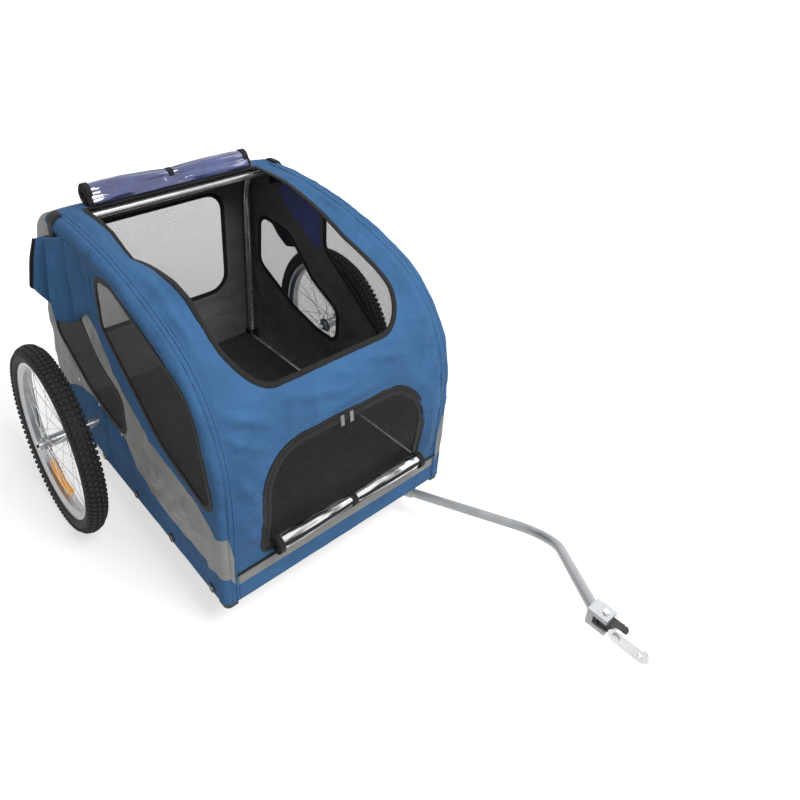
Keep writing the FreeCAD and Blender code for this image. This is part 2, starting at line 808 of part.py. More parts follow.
receiver_near = arm_mouth - arm_line * receiver_start
receiver_far = receiver_near - arm_line * receiver_length
receiver = rod(receiver_far, receiver_near, receiver_radius)
saddle_x = (arm_mouth - arm_line * frame_inset).x
saddle = box(V(saddle_x - saddle_width / 2, front_y + frame_inset - saddle_depth / 2, arm_height),
             V(saddle_x + saddle_width / 2, front_y + frame_inset + saddle_depth / 2,
               rail_z - frame_tube_radius + saddle_wrap))
receiver = receiver.fuse(saddle).cut(cross_tube(tube_hole, frame_inset, cross_half))
receiver_hole = rod(receiver_far, arm_mouth, arm_tube_radius + socket_clearance)
put("tow_receiver", receiver.cut(receiver_hole).cut(pin_hole).removeSplitter())

pin_end = pin_middle + pin_across * pin_reach
pin_head = rod(pin_end, pin_end + pin_across * tow_pin_head, tow_pin_head_radius)
put("tow_pin", tow_pin_bar(tow_pin_radius).fuse(pin_head).removeSplitter())

# Hitch: a fork on the arm, a block that swings in it, and a plate that tips on the block
swing = arm_end - V(0, hitch_pin_ahead, 0)
tip = arm_end - V(0, hitch_bolt_ahead, 0)
slot = box(arm_end - V(fork_width, fork_reach, fork_slot / 2), arm_end + V(fork_width, 0, fork_slot / 2))
pin_half = fork_height / 2 + hitch_pin_spare


def hitch_post(radius):
    return rod(swing - V(0, 0, pin_half), swing + V(0, 0, pin_half), radius)


put("hitch_fork", fork_block.cut(slot).cut(hitch_post(hitch_pin_radius + socket_clearance)))
put("hitch_pin", hitch_post(hitch_pin_radius))

block_half = fork_slot / 2 - soft_gap
plate_face_x = arm_end.x - block_width / 2 - soft_gap
bolt_left = V(plate_face_x - plate_thickness - soft_gap, tip.y, tip.z)
bolt_right = tip + V(block_width / 2 + soft_gap, 0, 0)


def hitch_cross(radius):
    return rod(bolt_left, bolt_right, radius)


block = box(V(arm_end.x - block_width / 2, tip.y, arm_end.z - block_half),
            V(arm_end.x + block_width / 2, swing.y, arm_end.z + block_half))
block = block.fuse(Part.makeCylinder(block_round, 2 * block_half, swing - V(0, 0, block_half), Z_AXIS))
nose = Part.makeCylinder(block_half, block_width, tip - V(block_width / 2, 0, 0), X_AXIS)
block = block.fuse(nose)
block = block.cut(hitch_post(hitch_pin_radius + running_clearance))
put("hitch_block", block.cut(hitch_cross(hitch_bolt_radius + socket_clearance)).removeSplitter())

bolt = hitch_cross(hitch_bolt_radius)
bolt = bolt.fuse(rod(bolt_left, bolt_left - V(hitch_bolt_head, 0, 0), hitch_bolt_head_radius))
bolt = bolt.fuse(rod(bolt_right, bolt_right + V(hitch_bolt_head, 0, 0), hitch_bolt_head_radius))
put("hitch_bolt", bolt.removeSplitter())

plate_rear = V(plate_face_x, tip.y, tip.z)
axle_hole = plate_rear - V(0, axle_hole_ahead, 0)
plate_thick = V(-plate_thickness, 0, 0)
plate = box(V(plate_face_x - plate_thickness, axle_hole.y, tip.z - plate_round),
            V(plate_face_x, tip.y, tip.z + plate_round))
for centre in (plate_rear, axle_hole):
    plate = plate.fuse(rod(centre, centre + plate_thick, plate_round))
plate = plate.cut(rod(axle_hole, axle_hole + plate_thick, axle_hole_radius))
put("hitch_plate", plate.cut(hitch_cross(hitch_bolt_radius + running_clearance)).removeSplitter())
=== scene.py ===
import json
import math

import bmesh
import bpy
import numpy as np
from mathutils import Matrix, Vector, noise
from mathutils.geometry import delaunay_2d_cdt
from mathutils.kdtree import KDTree


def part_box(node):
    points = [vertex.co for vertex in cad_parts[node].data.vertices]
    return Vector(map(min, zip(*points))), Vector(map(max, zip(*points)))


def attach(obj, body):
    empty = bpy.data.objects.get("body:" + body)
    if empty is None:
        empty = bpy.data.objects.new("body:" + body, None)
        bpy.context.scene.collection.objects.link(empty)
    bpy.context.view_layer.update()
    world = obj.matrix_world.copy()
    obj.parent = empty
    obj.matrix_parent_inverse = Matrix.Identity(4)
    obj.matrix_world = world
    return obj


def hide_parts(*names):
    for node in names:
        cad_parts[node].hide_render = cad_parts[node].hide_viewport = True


# Looks of a pet bicycle trailer. Metres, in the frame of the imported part: +Z up, towed towards -Y,
# right side at -X. On the body, "back" is measured from its front face and "height" from its bottom edge.

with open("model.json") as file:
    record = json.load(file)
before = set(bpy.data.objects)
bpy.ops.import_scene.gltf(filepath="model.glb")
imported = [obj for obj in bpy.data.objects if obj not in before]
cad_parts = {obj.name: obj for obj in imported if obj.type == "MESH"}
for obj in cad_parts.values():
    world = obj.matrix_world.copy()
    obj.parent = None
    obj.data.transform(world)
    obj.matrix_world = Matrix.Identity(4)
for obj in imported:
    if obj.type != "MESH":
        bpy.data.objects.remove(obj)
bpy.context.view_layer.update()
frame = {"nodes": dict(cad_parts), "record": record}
nodes = frame["nodes"]

# Body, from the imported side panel
panel_low, panel_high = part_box("right_side_panel")
FRONT = panel_low.y
BOTTOM = panel_low.z
LENGTH = panel_high.y - panel_low.y
HEIGHT = panel_high.z - panel_low.z
HALF_WIDTH = -panel_low.x
FRONT_LOW_RADIUS = 0.300
DOME_RADIUS = 1.184
ROOF_START = 0.640
REAR_RADIUS = 0.150
FRONT_STRAIGHT = HEIGHT - DOME_RADIUS + math.sqrt((DOME_RADIUS - FRONT_LOW_RADIUS) ** 2
                                                  - (ROOF_START - FRONT_LOW_RADIUS) ** 2)
CORNER_ROUND = 0.0155
SEAM_INSET = 0.030
CLOTH = 0.0014
GRID = 0.007
NET_SINK = 0.001
WELD_GAP = 0.0004
STUD_SPREAD = 0.03

# Relief of the cloth: height of its folds, how far from hems, edges and studs they are eased, and puckers
FRONT_RELIEF = 0.0095
REAR_RELIEF = 0.0040
SIDE_RELIEF = 0.0070
FRONT_HEM_EASE = 0.035
HEM_EASE = 0.030
EDGE_EASE = 0.030
SLACK_REACH = 0.055
SEAM_EASE = 0.025
FOOT_EASE = 0.060
REAR_FOOT_EASE = 0.10
ROOF_EASE = 0.05
SIDE_FOOT = 0.028
SIDE_FOOT_EASE = 0.08
PLATE_MARGIN = 0.012
PLATE_EASE = 0.04
STUD_CALM = 0.035
CREASE_CALM = 0.030
PUCKER_PITCH = 0.024
PUCKER_REACH = 0.018
PUCKER_HEIGHT = 0.0019

# Tapes: width, thickness; below, how far some are shifted or lifted
OPENING_BINDING = (0.013, 0.0054)
REAR_BINDING = (0.015, 0.0048)
SIDE_BINDING = (0.014, 0.0050)
CORNER_WELT = (0.0055, 0.0036)
FRONT_PIPING = (0.0060, 0.0050)
DOOR_ZIP_TAPE = (0.014, 0.0030)
COVER_ZIP_TAPE = (0.0085, 0.0046)
FITTING_TAPE = (0.042, 0.0090)
POUCH_HEM_TAPE = (0.012, 0.004)
TAPE_SIDES = 12
DOOR_ZIP_SHIFT = 0.0083
COVER_ZIP_SHIFT = -0.0052
WELT_LIFT = 0.0006
PIPING_LIFT = 0.0014

# Stitches: pitch, length, thickness; below, their lift off the cloth and distance from the seam
SEWN_STITCH = (0.0046, 0.0032, 0.0007)
ZIP_TOOTH = (0.0030, 0.0019, 0.0016)
CORNER_STITCH_LIFT = 0.0010
BAND_STITCH_LIFT = 0.0016
STITCH_ASIDE = 0.006

# Patch over the wheel bracket's plate
BRACKET_TONGUE = 0.040
BRACKET_LIFT = 0.0062
PATCH_MARGIN = 0.026
PATCH_LOW_CORNER = 0.006
PATCH_TOP_CORNER = 0.024
PATCH_SLOPE = 0.020
PATCH_EASE = 0.004
PATCH_CLOTH = 0.0010
AXLE_HOLE = 0.0122

# Outlines on the side: back, height and, for the windows, corner radius
FRONT_WINDOW = [(0.015, 0.232, 0.035), (0.078, 0.490, 0.120), (0.395, 0.608, 0.090), (0.478, 0.600, 0.035),
                (0.480, 0.472, 0.050), (0.232, 0.290, 0.250)]
REAR_WINDOW = [(0.420, 0.188, 0.035), (0.418, 0.298, 0.045), (0.530, 0.350, 0.150), (0.640, 0.460, 0.070),
               (0.792, 0.474, 0.040), (0.802, 0.305, 0.045), (0.625, 0.220, 0.200), (0.515, 0.192, 0.120)]
BAND_CORNER = (0.078, 0.192)
BAND_TOP = [(CORNER_ROUND, BAND_CORNER[1]), (0.072, 0.222), (0.142, 0.243), (0.217, 0.261), (0.296, 0.281),
            (0.360, 0.302), (0.413, 0.338), (0.446, 0.380), (0.482, 0.428), (0.519, 0.455), (0.600, 0.500),
            (0.690, 0.565), (0.733, 0.640), (0.742, 0.720)]
BAND_BOTTOM = [(CORNER_ROUND, BAND_CORNER[0]), (0.049, 0.088), (0.152, 0.090), (0.258, 0.094),
               (0.349, 0.122), (0.405, 0.162), (0.440, 0.180), (0.515, 0.184), (0.598, 0.204),
               (0.687, 0.188), (0.821, 0.122), (0.900, 0.100)]
NAVY_ZONE = [(0.500, 0.460), (0.690, 0.470), (0.690, 0.640), (0.500, 0.640)]

# Outlines on the front, roof and rear; the door and rear window as across, height, corner radius
OPENING_FRONT = 0.052
OPENING_REAR = 0.690
OPENING_HALF_FRONT = 0.226
OPENING_HALF_REAR = 0.252
OPENING_CORNER = 0.085
DOOR = [(-0.228, 0.100, 0.018), (0.228, 0.100, 0.018), (0.228, 0.353, 0.110), (-0.228, 0.353, 0.110)]
REAR_MESH = [(-0.235, 0.220, 0.060), (0.235, 0.220, 0.060), (0.235, 0.552, 0.060), (-0.235, 0.552, 0.060)]
FRONT_SWELL = 0.018
SWELL_START = 0.004
SWELL_RISE = 0.260
STRIPE_LOW = 0.046
STRIPE_HIGH = 0.074
BAND_END_LOW = STRIPE_LOW
BAND_END_HIGH = 0.112
ROOF_BLUE_END = 0.740
CORNER_FITTING_BACK = 0.697
FITTING_REACH = 0.020
FITTING_LIFT = 0.0035
FITTING_DROP = (0.004, 0.048)

# Slack edges of the roof opening: distance back, lift of the cloth's edge
RIGHT_SLACK = [(0.096, 0.0), (0.149, -0.008), (0.201, 0.004), (0.242, 0.018), (0.295, 0.016),
               (0.362, -0.002), (0.410, -0.018), (0.462, -0.038), (0.500, -0.030), (0.551, -0.012),
               (0.610, -0.004), (OPENING_REAR, 0.0)]
LEFT_SLACK = [(0.120, 0.0), (0.200, -0.007), (0.285, -0.014), (0.400, -0.005), (0.550, 0.003),
              (OPENING_REAR, 0.0)]

# Creases in the cloth: start, end, half width and height
# On the front the ends are (across, along), on the sides (back, height)
FRONT_CREASES = [
    ((-0.300, 0.475), (-0.195, 0.415), 0.010, 0.0060), ((-0.292, 0.420), (-0.212, 0.362), 0.009, 0.0050),
    ((-0.298, 0.345), (-0.238, 0.250), 0.011, 0.0055), ((-0.292, 0.235), (-0.240, 0.130), 0.010, 0.0045),
    ((-0.140, 0.445), (0.020, 0.405), 0.010, 0.0045), ((0.050, 0.462), (0.200, 0.420), 0.010, 0.0050),
    ((-0.060, 0.376), (0.120, 0.388), 0.008, 0.0035), ((0.212, 0.372), (0.296, 0.465), 0.010, 0.0065),
    ((0.236, 0.335), (0.302, 0.420), 0.009, 0.0060), ((0.240, 0.285), (0.302, 0.350), 0.009, 0.0055),
    ((0.242, 0.200), (0.300, 0.260), 0.010, 0.0045), ((-0.286, 0.540), (-0.268, 0.800), 0.009, 0.0050),
    ((-0.262, 0.600), (-0.292, 0.740), 0.008, 0.0045), ((-0.280, 0.820), (-0.296, 0.960), 0.009, 0.0045),
    ((0.276, 0.550), (0.292, 0.760), 0.009, 0.0045), ((0.290, 0.800), (0.276, 0.960), 0.009, 0.0045),
]
SIDE_CREASES = [
    ((0.030, 0.165), (0.060, 0.030), 0.011, 0.0045), ((0.150, 0.088), (0.166, 0.020), 0.010, 0.0040),
    ((0.300, 0.104), (0.290, 0.020), 0.010, 0.0040), ((0.125, 0.530), (0.350, 0.630), 0.009, 0.0045),
    ((0.110, 0.205), (0.205, 0.112), 0.013, 0.0045), ((0.215, 0.225), (0.305, 0.132), 0.013, 0.0045),
    ((0.330, 0.262), (0.405, 0.185), 0.013, 0.0045), ((0.500, 0.150), (0.540, 0.060), 0.012, 0.0040),
    ((0.660, 0.175), (0.640, 0.060), 0.012, 0.0040), ((0.500, 0.640), (0.760, 0.645), 0.009, 0.0035),
]

# Camera that took the photograph
CAMERA_PLACE = Vector((-0.84906, -1.03216, 1.4619))
CAMERA_AZIMUTH = math.radians(-38.598)
CAMERA_ELEVATION = math.radians(27.2835)
CAMERA_LENS = 33.097
CAMERA_SHIFT = (0.11038, -0.16126)
SENSOR_WIDTH = 36.0

# Studio: each lamp is place, target, size and power
WORLD_LIGHT = 0.36
LAMPS = {
    "key_lamp": ((0.1, -2.4, 3.6), (0.0, 0.2, 0.3), 1.8, 120.0),
    "fill_lamp": ((2.6, -0.2, 2.8), (0.0, 0.3, 0.4), 2.0, 30.0),
}
FLOOR_HALF = 12.0
FLOOR_SHADE = 0.62
FLOOR_GLOW = 0.60
FLOOR_FADE = (0.9, 2.4)


def side_name(side):
    """Start of the names on one side: -1 is the right."""
    return "right_" if side < 0 else "left_"


# Materials
class Finish:
    """A material with one principled shader, built node by node."""

    def __init__(self, name, color, roughness, **sockets):
        self.material = bpy.data.materials.new(name)
        self.material.use_nodes = True
        self.tree = self.material.node_tree
        self.shader = self.tree.nodes["Principled BSDF"]
        self.set(self.shader, "Base Color", (*color, 1.0))
        self.set(self.shader, "Roughness", roughness)
        for socket, value in sockets.items():
            self.set(self.shader, socket.replace("_", " "), value)
        self.color = color
        self.place = self.add("ShaderNodeTexCoord").outputs["Object"]
        self.height = None

    def add(self, kind, **settings):
        node = self.tree.nodes.new(kind)
        for key, value in settings.items():
            setattr(node, key, value)
        return node

    def set(self, node, socket, value):
        node.inputs[socket].default_value = value

    def link(self, output, node, socket):
        self.tree.links.new(output, node.inputs[socket])

    def math(self, operation, first, second):
        node = self.add("ShaderNodeMath", operation=operation)
        for i, value in enumerate((first, second)):
            if isinstance(value, (int, float)):
                node.inputs[i].default_value = value
            else:
                self.tree.links.new(value, node.inputs[i])
        return node.outputs[0]

    def blend(self, *parts):
        """Sum of patterns, each taken with its share."""
        shares = [self.math("MULTIPLY", pattern, share) for pattern, share in parts]
        total = shares[0]
        for share in shares[1:]:
            total = self.math("ADD", total, share)
        return total

    def stretched(self, scale):
        node = self.add("ShaderNodeMapping")
        self.set(node, "Scale", scale)
        self.link(self.place, node, "Vector")
        return node.outputs[0]

    def noise(self, scale, detail=3.0, stretch=None):
        node = self.add("ShaderNodeTexNoise")
        self.set(node, "Scale", scale)
        self.set(node, "Detail", detail)
        self.link(self.stretched(stretch) if stretch else self.place, node, "Vector")
        return node.outputs["Fac"]

    def wave(self, axis, pitch, distortion=0.0):
        node = self.add("ShaderNodeTexWave", bands_direction=axis)
        self.set(node, "Scale", math.tau / (20.0 * pitch))
        self.set(node, "Distortion", distortion)
        self.link(self.place, node, "Vector")
        return node.outputs["Fac"]

    def ramp(self, factor, stops):
        node = self.add("ShaderNodeValToRGB")
        elements = node.color_ramp.elements
        for i, (position, color) in enumerate(stops):
            element = elements[i] if i < 2 else elements.new(position)
            element.position = position
            element.color = (*color, 1.0)
        self.link(factor, node, "Fac")
        return node.outputs["Color"]

    def vary_color(self, factor, low, high, span=(0.3, 0.7)):
        """Base colour between two shades of the finish's colour."""
        dark = tuple(c * low for c in self.color)
        pale = tuple(min(c * high, 1.0) for c in self.color)
        self.link(self.ramp(factor, [(span[0], dark), (span[1], pale)]), self.shader, "Base Color")

    def vary_roughness(self, factor, low, high):
        node = self.add("ShaderNodeMapRange")
        self.set(node, "To Min", low)
        self.set(node, "To Max", high)
        self.link(factor, node, "Value")
        self.link(node.outputs[0], self.shader, "Roughness")

    def bump(self, height, strength, distance):
        node = self.add("ShaderNodeBump")
        self.set(node, "Strength", strength)
        self.set(node, "Distance", distance)
        self.link(height, node, "Height")
        if self.height is not None:
            self.link(self.height, node, "Normal")
        self.height = node.outputs[0]
        self.link(self.height, self.shader, "Normal")


def weave(finish, pitch, strength):
    """Threads crossing over and under each other, on a face of any direction."""
    rows = [finish.wave(axis, pitch, 0.6) for axis in ("X", "Y", "Z")]
    threads = finish.math("ADD", finish.math("ADD", rows[0], rows[1]), rows[2])
    finish.bump(threads, strength, pitch * 0.4)
    return threads


def cloth_finish(name, color, sheen):
    """Woven cloth, a little creased."""
    roughness = 0.78
    finish = Finish(name, color, roughness, Sheen_Weight=sheen, Sheen_Roughness=0.45, Specular_IOR_Level=0.16)
    threads = weave(finish, 0.0011, 0.32)
    soft = finish.noise(9.0, 4.0)
    fine = finish.noise(260.0, 2.0)
    mixed = finish.blend((soft, 0.62), (fine, 0.20), (threads, 0.06))
    finish.vary_color(mixed, 0.80, 1.16, (0.32, 0.66))
    finish.vary_roughness(soft, roughness - 0.08, roughness + 0.10)
    finish.bump(finish.noise(70.0, 3.0), 0.25, 0.0012)
    finish.bump(finish.noise(1.0, 4.0, (15.0, 24.0, 19.0)), 0.75, 0.014)
    return finish.material


def reflective_finish():
    """Grey cloth coated with tiny glass beads."""
    finish = Finish("reflective_grey", (0.235, 0.238, 0.225), 0.5, Metallic=0.15, Specular_IOR_Level=0.5)
    beads = finish.add("ShaderNodeTexVoronoi")
    finish.set(beads, "Scale", 900.0)
    finish.link(finish.place, beads, "Vector")
    smudge = finish.noise(14.0, 5.0)
    mixed = finish.blend((beads.outputs["Distance"], 0.25), (smudge, 0.8))
    finish.vary_color(mixed, 0.82, 1.18, (0.3, 0.75))
    finish.vary_roughness(smudge, 0.42, 0.62)
    finish.bump(beads.outputs["Distance"], 0.3, 0.0004)
    finish.bump(finish.noise(80.0, 3.0), 0.2, 0.001)
    finish.bump(finish.noise(1.0, 4.0, (15.0, 20.0, 26.0)), 0.6, 0.012)
    return finish.material


def mesh_finish(name, color, thread_share, axes):
    """Open netting in the plane of two axes: small holes in rows, seen through."""
    pitch = 0.0017
    finish = Finish(name, color, 0.7, Specular_IOR_Level=0.25)
    parts = finish.add("ShaderNodeSeparateXYZ")
    finish.link(finish.place, parts, "Vector")
    flat = finish.add("ShaderNodeCombineXYZ")
    finish.link(parts.outputs[axes[0]], flat, "X")
    finish.link(parts.outputs[axes[1]], flat, "Y")
    holes = finish.add("ShaderNodeTexVoronoi", voronoi_dimensions="2D")
    finish.set(holes, "Scale", 1.0 / pitch)
    finish.set(holes, "Randomness", 0.10)
    finish.link(flat.outputs[0], holes, "Vector")
    hole_radius = math.sqrt((1.0 - thread_share) / math.pi)
    edge = finish.add("ShaderNodeMapRange")
    finish.set(edge, "From Min", hole_radius - 0.05)
    finish.set(edge, "From Max", hole_radius + 0.05)
    finish.link(holes.outputs["Distance"], edge, "Value")
    finish.link(edge.outputs[0], finish.shader, "Alpha")
    finish.vary_color(finish.noise(40.0, 3.0), 0.8, 1.3)
    finish.bump(holes.outputs["Distance"], 0.4, 0.0006)
    return finish.material


def webbing_finish(name, color, pitch=0.0022):
    """Tape or thread with ribs of the given pitch."""
    finish = Finish(name, color, 0.68, Sheen_Weight=0.05, Specular_IOR_Level=0.28)
    ribs = weave(finish, pitch, 0.55)
    mixed = finish.blend((ribs, 0.15), (finish.noise(60.0, 4.0), 1.0))
    finish.vary_color(mixed, 0.6, 1.7, (0.35, 0.95))
    return finish.material


def plastic_finish(name, color):
    """Moulded plastic, lightly scuffed."""
    roughness = 0.45
    finish = Finish(name, color, roughness, Specular_IOR_Level=0.5)
    finish.bump(finish.noise(700.0, 2.0), 0.18, 0.0003)
    scuff = finish.noise(30.0, 6.0)
    finish.vary_color(scuff, 0.75, 1.7, (0.35, 0.8))
    finish.vary_roughness(scuff, roughness - 0.1, roughness + 0.18)
    return finish.material


def metal_finish(name, color, roughness, metallic=1.0, coat=0.0):
    """Metal with faint brush marks across the object."""
    finish = Finish(name, color, roughness, Metallic=metallic, Coat_Weight=coat, Coat_Roughness=0.18)
    brushed = finish.noise(1.0, 3.0, (6.0, 260.0, 260.0))
    cloudy = finish.noise(22.0, 5.0)
    finish.vary_color(finish.blend((brushed, 0.4), (cloudy, 0.6)), 0.82, 1.12)
    finish.vary_roughness(cloudy, roughness * 0.85, roughness * 1.25)
    finish.bump(brushed, 0.03, 0.0003)
    return finish.material


def rubber_finish(name, color):
    """Dull rubber with dust in it."""
    finish = Finish(name, color, 0.72, Specular_IOR_Level=0.4)
    dust = finish.noise(35.0, 6.0)
    finish.vary_color(dust, 0.65, 2.0, (0.35, 0.85))
    finish.vary_roughness(dust, 0.6, 0.9)
    finish.bump(finish.noise(420.0, 3.0), 0.35, 0.0005)
    return finish.material


def vinyl_finish(name, color, alpha, metallic=0.0, painted_reflection_streaks=None):
    """Clear, glossy film with soft ripples and rubbed marks; given streaks, its colour carries painted
    reflections, dark and bright streaks along the roll.
    """
    roughness = 0.07
    finish = Finish(name, color, roughness, Specular_IOR_Level=0.8, Coat_Weight=0.9, Coat_Roughness=0.04,
                    Metallic=metallic, Alpha=alpha)
    if painted_reflection_streaks:
        # Painted reflections: dark and bright streaks along the film, put into its colour.
        finish.vary_color(finish.noise(1.0, 2.0, painted_reflection_streaks), 0.05, 1.5, (0.43, 0.57))
    else:
        finish.vary_color(finish.noise(18.0, 3.0), 0.72, 1.35, (0.3, 0.7))
    finish.vary_roughness(finish.noise(25.0, 5.0), roughness * 0.6, roughness * 2.2)
    finish.bump(finish.noise(1.0, 2.0, (9.0, 60.0, 60.0)), 0.8, 0.006)
    finish.bump(finish.noise(300.0, 2.0), 0.06, 0.0004)
    return finish.material


def reflector_finish():
    """Amber plastic with rows of small prisms, with a painted glow: its emission stands in for the light the
    prisms send back.
    """
    # Painted light: the emission is a painted glow on the reflector, not a lamp.
    finish = Finish("glowing_amber_prisms", (1.0, 0.40, 0.02), 0.35, Coat_Weight=0.2, Coat_Roughness=0.2,
                    Emission_Color=(1.0, 0.36, 0.02, 1.0), Emission_Strength=0.30)
    cells = finish.add("ShaderNodeTexVoronoi", distance="MANHATTAN")
    finish.set(cells, "Scale", 420.0)
    finish.set(cells, "Randomness", 0.0)
    finish.link(finish.place, cells, "Vector")
    finish.vary_color(cells.outputs["Distance"], 0.82, 1.1, (0.2, 0.9))
    finish.bump(cells.outputs["Distance"], 0.35, 0.0008)
    return finish.material


BLUE = cloth_finish("blue_cloth", (0.050, 0.143, 0.305), sheen=0.04)
LINING = cloth_finish("grey_lining", (0.145, 0.143, 0.146), sheen=0.02)
NAVY = cloth_finish("navy_lining", (0.120, 0.146, 0.370), sheen=0.02)
GREY = reflective_finish()
BLACK_TAPE = webbing_finish("black_binding", (0.0055, 0.0055, 0.006))
BLACK_ZIP = webbing_finish("zip_tape", (0.0075, 0.0072, 0.008), 0.0016)
WEBBING = webbing_finish("black_webbing", (0.007, 0.007, 0.0075), 0.0030)
SIDE_MESH = mesh_finish("black_netting", (0.012, 0.012, 0.013), 0.68, "YZ")
DOOR_MESH = mesh_finish("door_netting", (0.016, 0.015, 0.015), 0.64, "XZ")
REAR_NET = mesh_finish("rear_netting", (0.034, 0.034, 0.038), 0.60, "XZ")
THREAD = webbing_finish("blue_thread", (0.050, 0.135, 0.300), 0.0008)
GREY_THREAD = webbing_finish("grey_thread", (0.16, 0.16, 0.16), 0.0008)
BLACK_PLASTIC = plastic_finish("black_plastic", (0.009, 0.009, 0.010))
SILVER_TUBE = metal_finish("silver_tube", (0.62, 0.63, 0.63), 0.26, 0.85, coat=0.2)
GREY_STEEL = metal_finish("grey_steel", (0.40, 0.41, 0.42), 0.38, 0.55, coat=0.15)
ZINC = metal_finish("zinc_steel", (0.66, 0.67, 0.68), 0.30)
BRIGHT = metal_finish("bright_steel", (0.72, 0.73, 0.74), 0.18)
ALLOY = metal_finish("polished_alloy", (0.42, 0.43, 0.44), 0.30)
DARK_ZINC = metal_finish("dark_zinc", (0.24, 0.24, 0.25), 0.35)
RUBBER = rubber_finish("tyre_rubber", (0.012, 0.012, 0.013))
FLOOR_CLOTH = cloth_finish("floor_cloth", (0.030, 0.030, 0.032), sheen=0.1)
TINTED = vinyl_finish("tinted_vinyl", (0.050, 0.066, 0.205), 0.94)
# The clear film's dark and bright streaks are painted reflections.
CLEAR = vinyl_finish("clear_vinyl", (0.58, 0.59, 0.60), 0.96, 0.85, (10.0, 85.0, 85.0))
AMBER = reflector_finish()


# Mesh helpers
def make_piece(name, points, faces, materials, body="root", face_materials=None, smooth=True):
    mesh = bpy.data.meshes.new(name)
    mesh.from_pydata([tuple(p) for p in points], [], [tuple(int(i) for i in f) for f in faces])
    for material in materials:
        mesh.materials.append(material)
    if face_materials is not None:
        mesh.polygons.foreach_set("material_index", np.asarray(face_materials, np.int32))
    mesh.polygons.foreach_set("use_smooth", np.full(len(faces), smooth))
    mesh.update()
    piece = bpy.data.objects.new(name, mesh)
    bpy.context.scene.collection.objects.link(piece)
    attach(piece, body)
    return piece


def thicken(piece, thickness, offset=-1.0, lining_step=0):
    solid = piece.modifiers.new("thickness", "SOLIDIFY")
    solid.thickness = thickness
    solid.offset = offset
    solid.material_offset = lining_step
    return piece


def facing(points, faces, normals):
    """Faces turned so that they look along the given normals."""
    turned = []
    for face in faces:
        a, b, c = points[face[0]], points[face[1]], points[face[2]]
        wanted = normals[face[0]] + normals[face[1]] + normals[face[2]]
        turned.append(tuple(face) if np.dot(np.cross(b - a, c - a), wanted) >= 0 else tuple(reversed(face)))
    return turned


def grid_faces(rows, columns, wrap_rows=False, wrap_columns=False):
    faces = []
    for i in range(rows if wrap_rows else rows - 1):
        for j in range(columns if wrap_columns else columns - 1):
            a, b = i * columns + j, i * columns + (j + 1) % columns
            below = ((i + 1) % rows) * columns
            faces.append((a, b, below + (j + 1) % columns, below + j))
    return faces


def rounded(corners, step=GRID):
    """Closed outline through (a, b, radius) corners with the corners rounded."""
    flat = np.array([c[:2] for c in corners], float)
    count = len(corners)
    outline = []
    ends = []
    for i in range(count):
        before = flat[i - 1] - flat[i]
        after = flat[(i + 1) % count] - flat[i]
        before, after = before / np.linalg.norm(before), after / np.linalg.norm(after)
        half = math.acos(float(np.clip(before @ after, -1, 1))) / 2
        radius = corners[i][2]
        middle = (before + after) / np.linalg.norm(before + after)
        centre = flat[i] + middle * radius / math.sin(half)
        start = flat[i] + before * radius / math.tan(half) - centre
        end = flat[i] + after * radius / math.tan(half) - centre
        turn = math.atan2(start[0] * end[1] - start[1] * end[0], float(start @ end))
        parts = max(3, int(abs(turn) * radius / step) + 1)
        arc = []
        for k in range(parts + 1):
            angle = turn * k / parts
            c, s = math.cos(angle), math.sin(angle)
            arc.append(centre + np.array([c * start[0] - s * start[1], s * start[0] + c * start[1]]))
        ends.append(arc)
    for i in range(count):
        outline.extend(ends[i])
        gap = ends[(i + 1) % count][0] - ends[i][-1]
        parts = max(1, int(np.linalg.norm(gap) / step))
        outline.extend(ends[i][-1] + gap * k / parts for k in range(1, parts))
    return np.array(outline)


def spread(points, step, closed=False):
    """Points at even spacing along a line."""
    points = np.asarray(points, float)
    if closed:
        points = np.vstack([points, points[:1]])
    reach = np.concatenate([[0], np.cumsum(np.linalg.norm(np.diff(points, axis=0), axis=1))])
    count = max(2, int(round(reach[-1] / step)) + 1)
    at = np.linspace(0, reach[-1], count)
    even = np.stack([np.interp(at, reach, points[:, k]) for k in range(points.shape[1])], axis=1)
    return even[:-1] if closed else even


def smooth_line(points, step, rounds=3):
    """An open line with its corners eased."""
    line = np.asarray(points, float)
    for _ in range(rounds):
        cut = [line[0]]
        for a, b in zip(line[:-1], line[1:]):
            cut.extend((a * 0.75 + b * 0.25, a * 0.25 + b * 0.75))
        cut.append(line[-1])
        line = np.array(cut)
    return spread(line, step)


def inside(points, outline):
    """Which flat points lie within a closed outline."""
    x, y = points[:, 0], points[:, 1]
    hit = np.zeros(len(points), bool)
    for (ax, ay), (bx, by) in zip(outline, np.roll(outline, -1, axis=0)):
        crosses = (ay > y) != (by > y)
        slope = (bx - ax) * (y - ay) / (by - ay if by != ay else 1e-12) + ax
        hit ^= crosses & (x < slope)
    return hit


def nearest(lines):
    """Search tree over the points of some lines."""
    points = np.vstack(lines)
    tree = KDTree(len(points))
    for i, p in enumerate(points):
        tree.insert((*p, 0.0) if len(p) == 2 else p, i)
    tree.balance()
    return tree


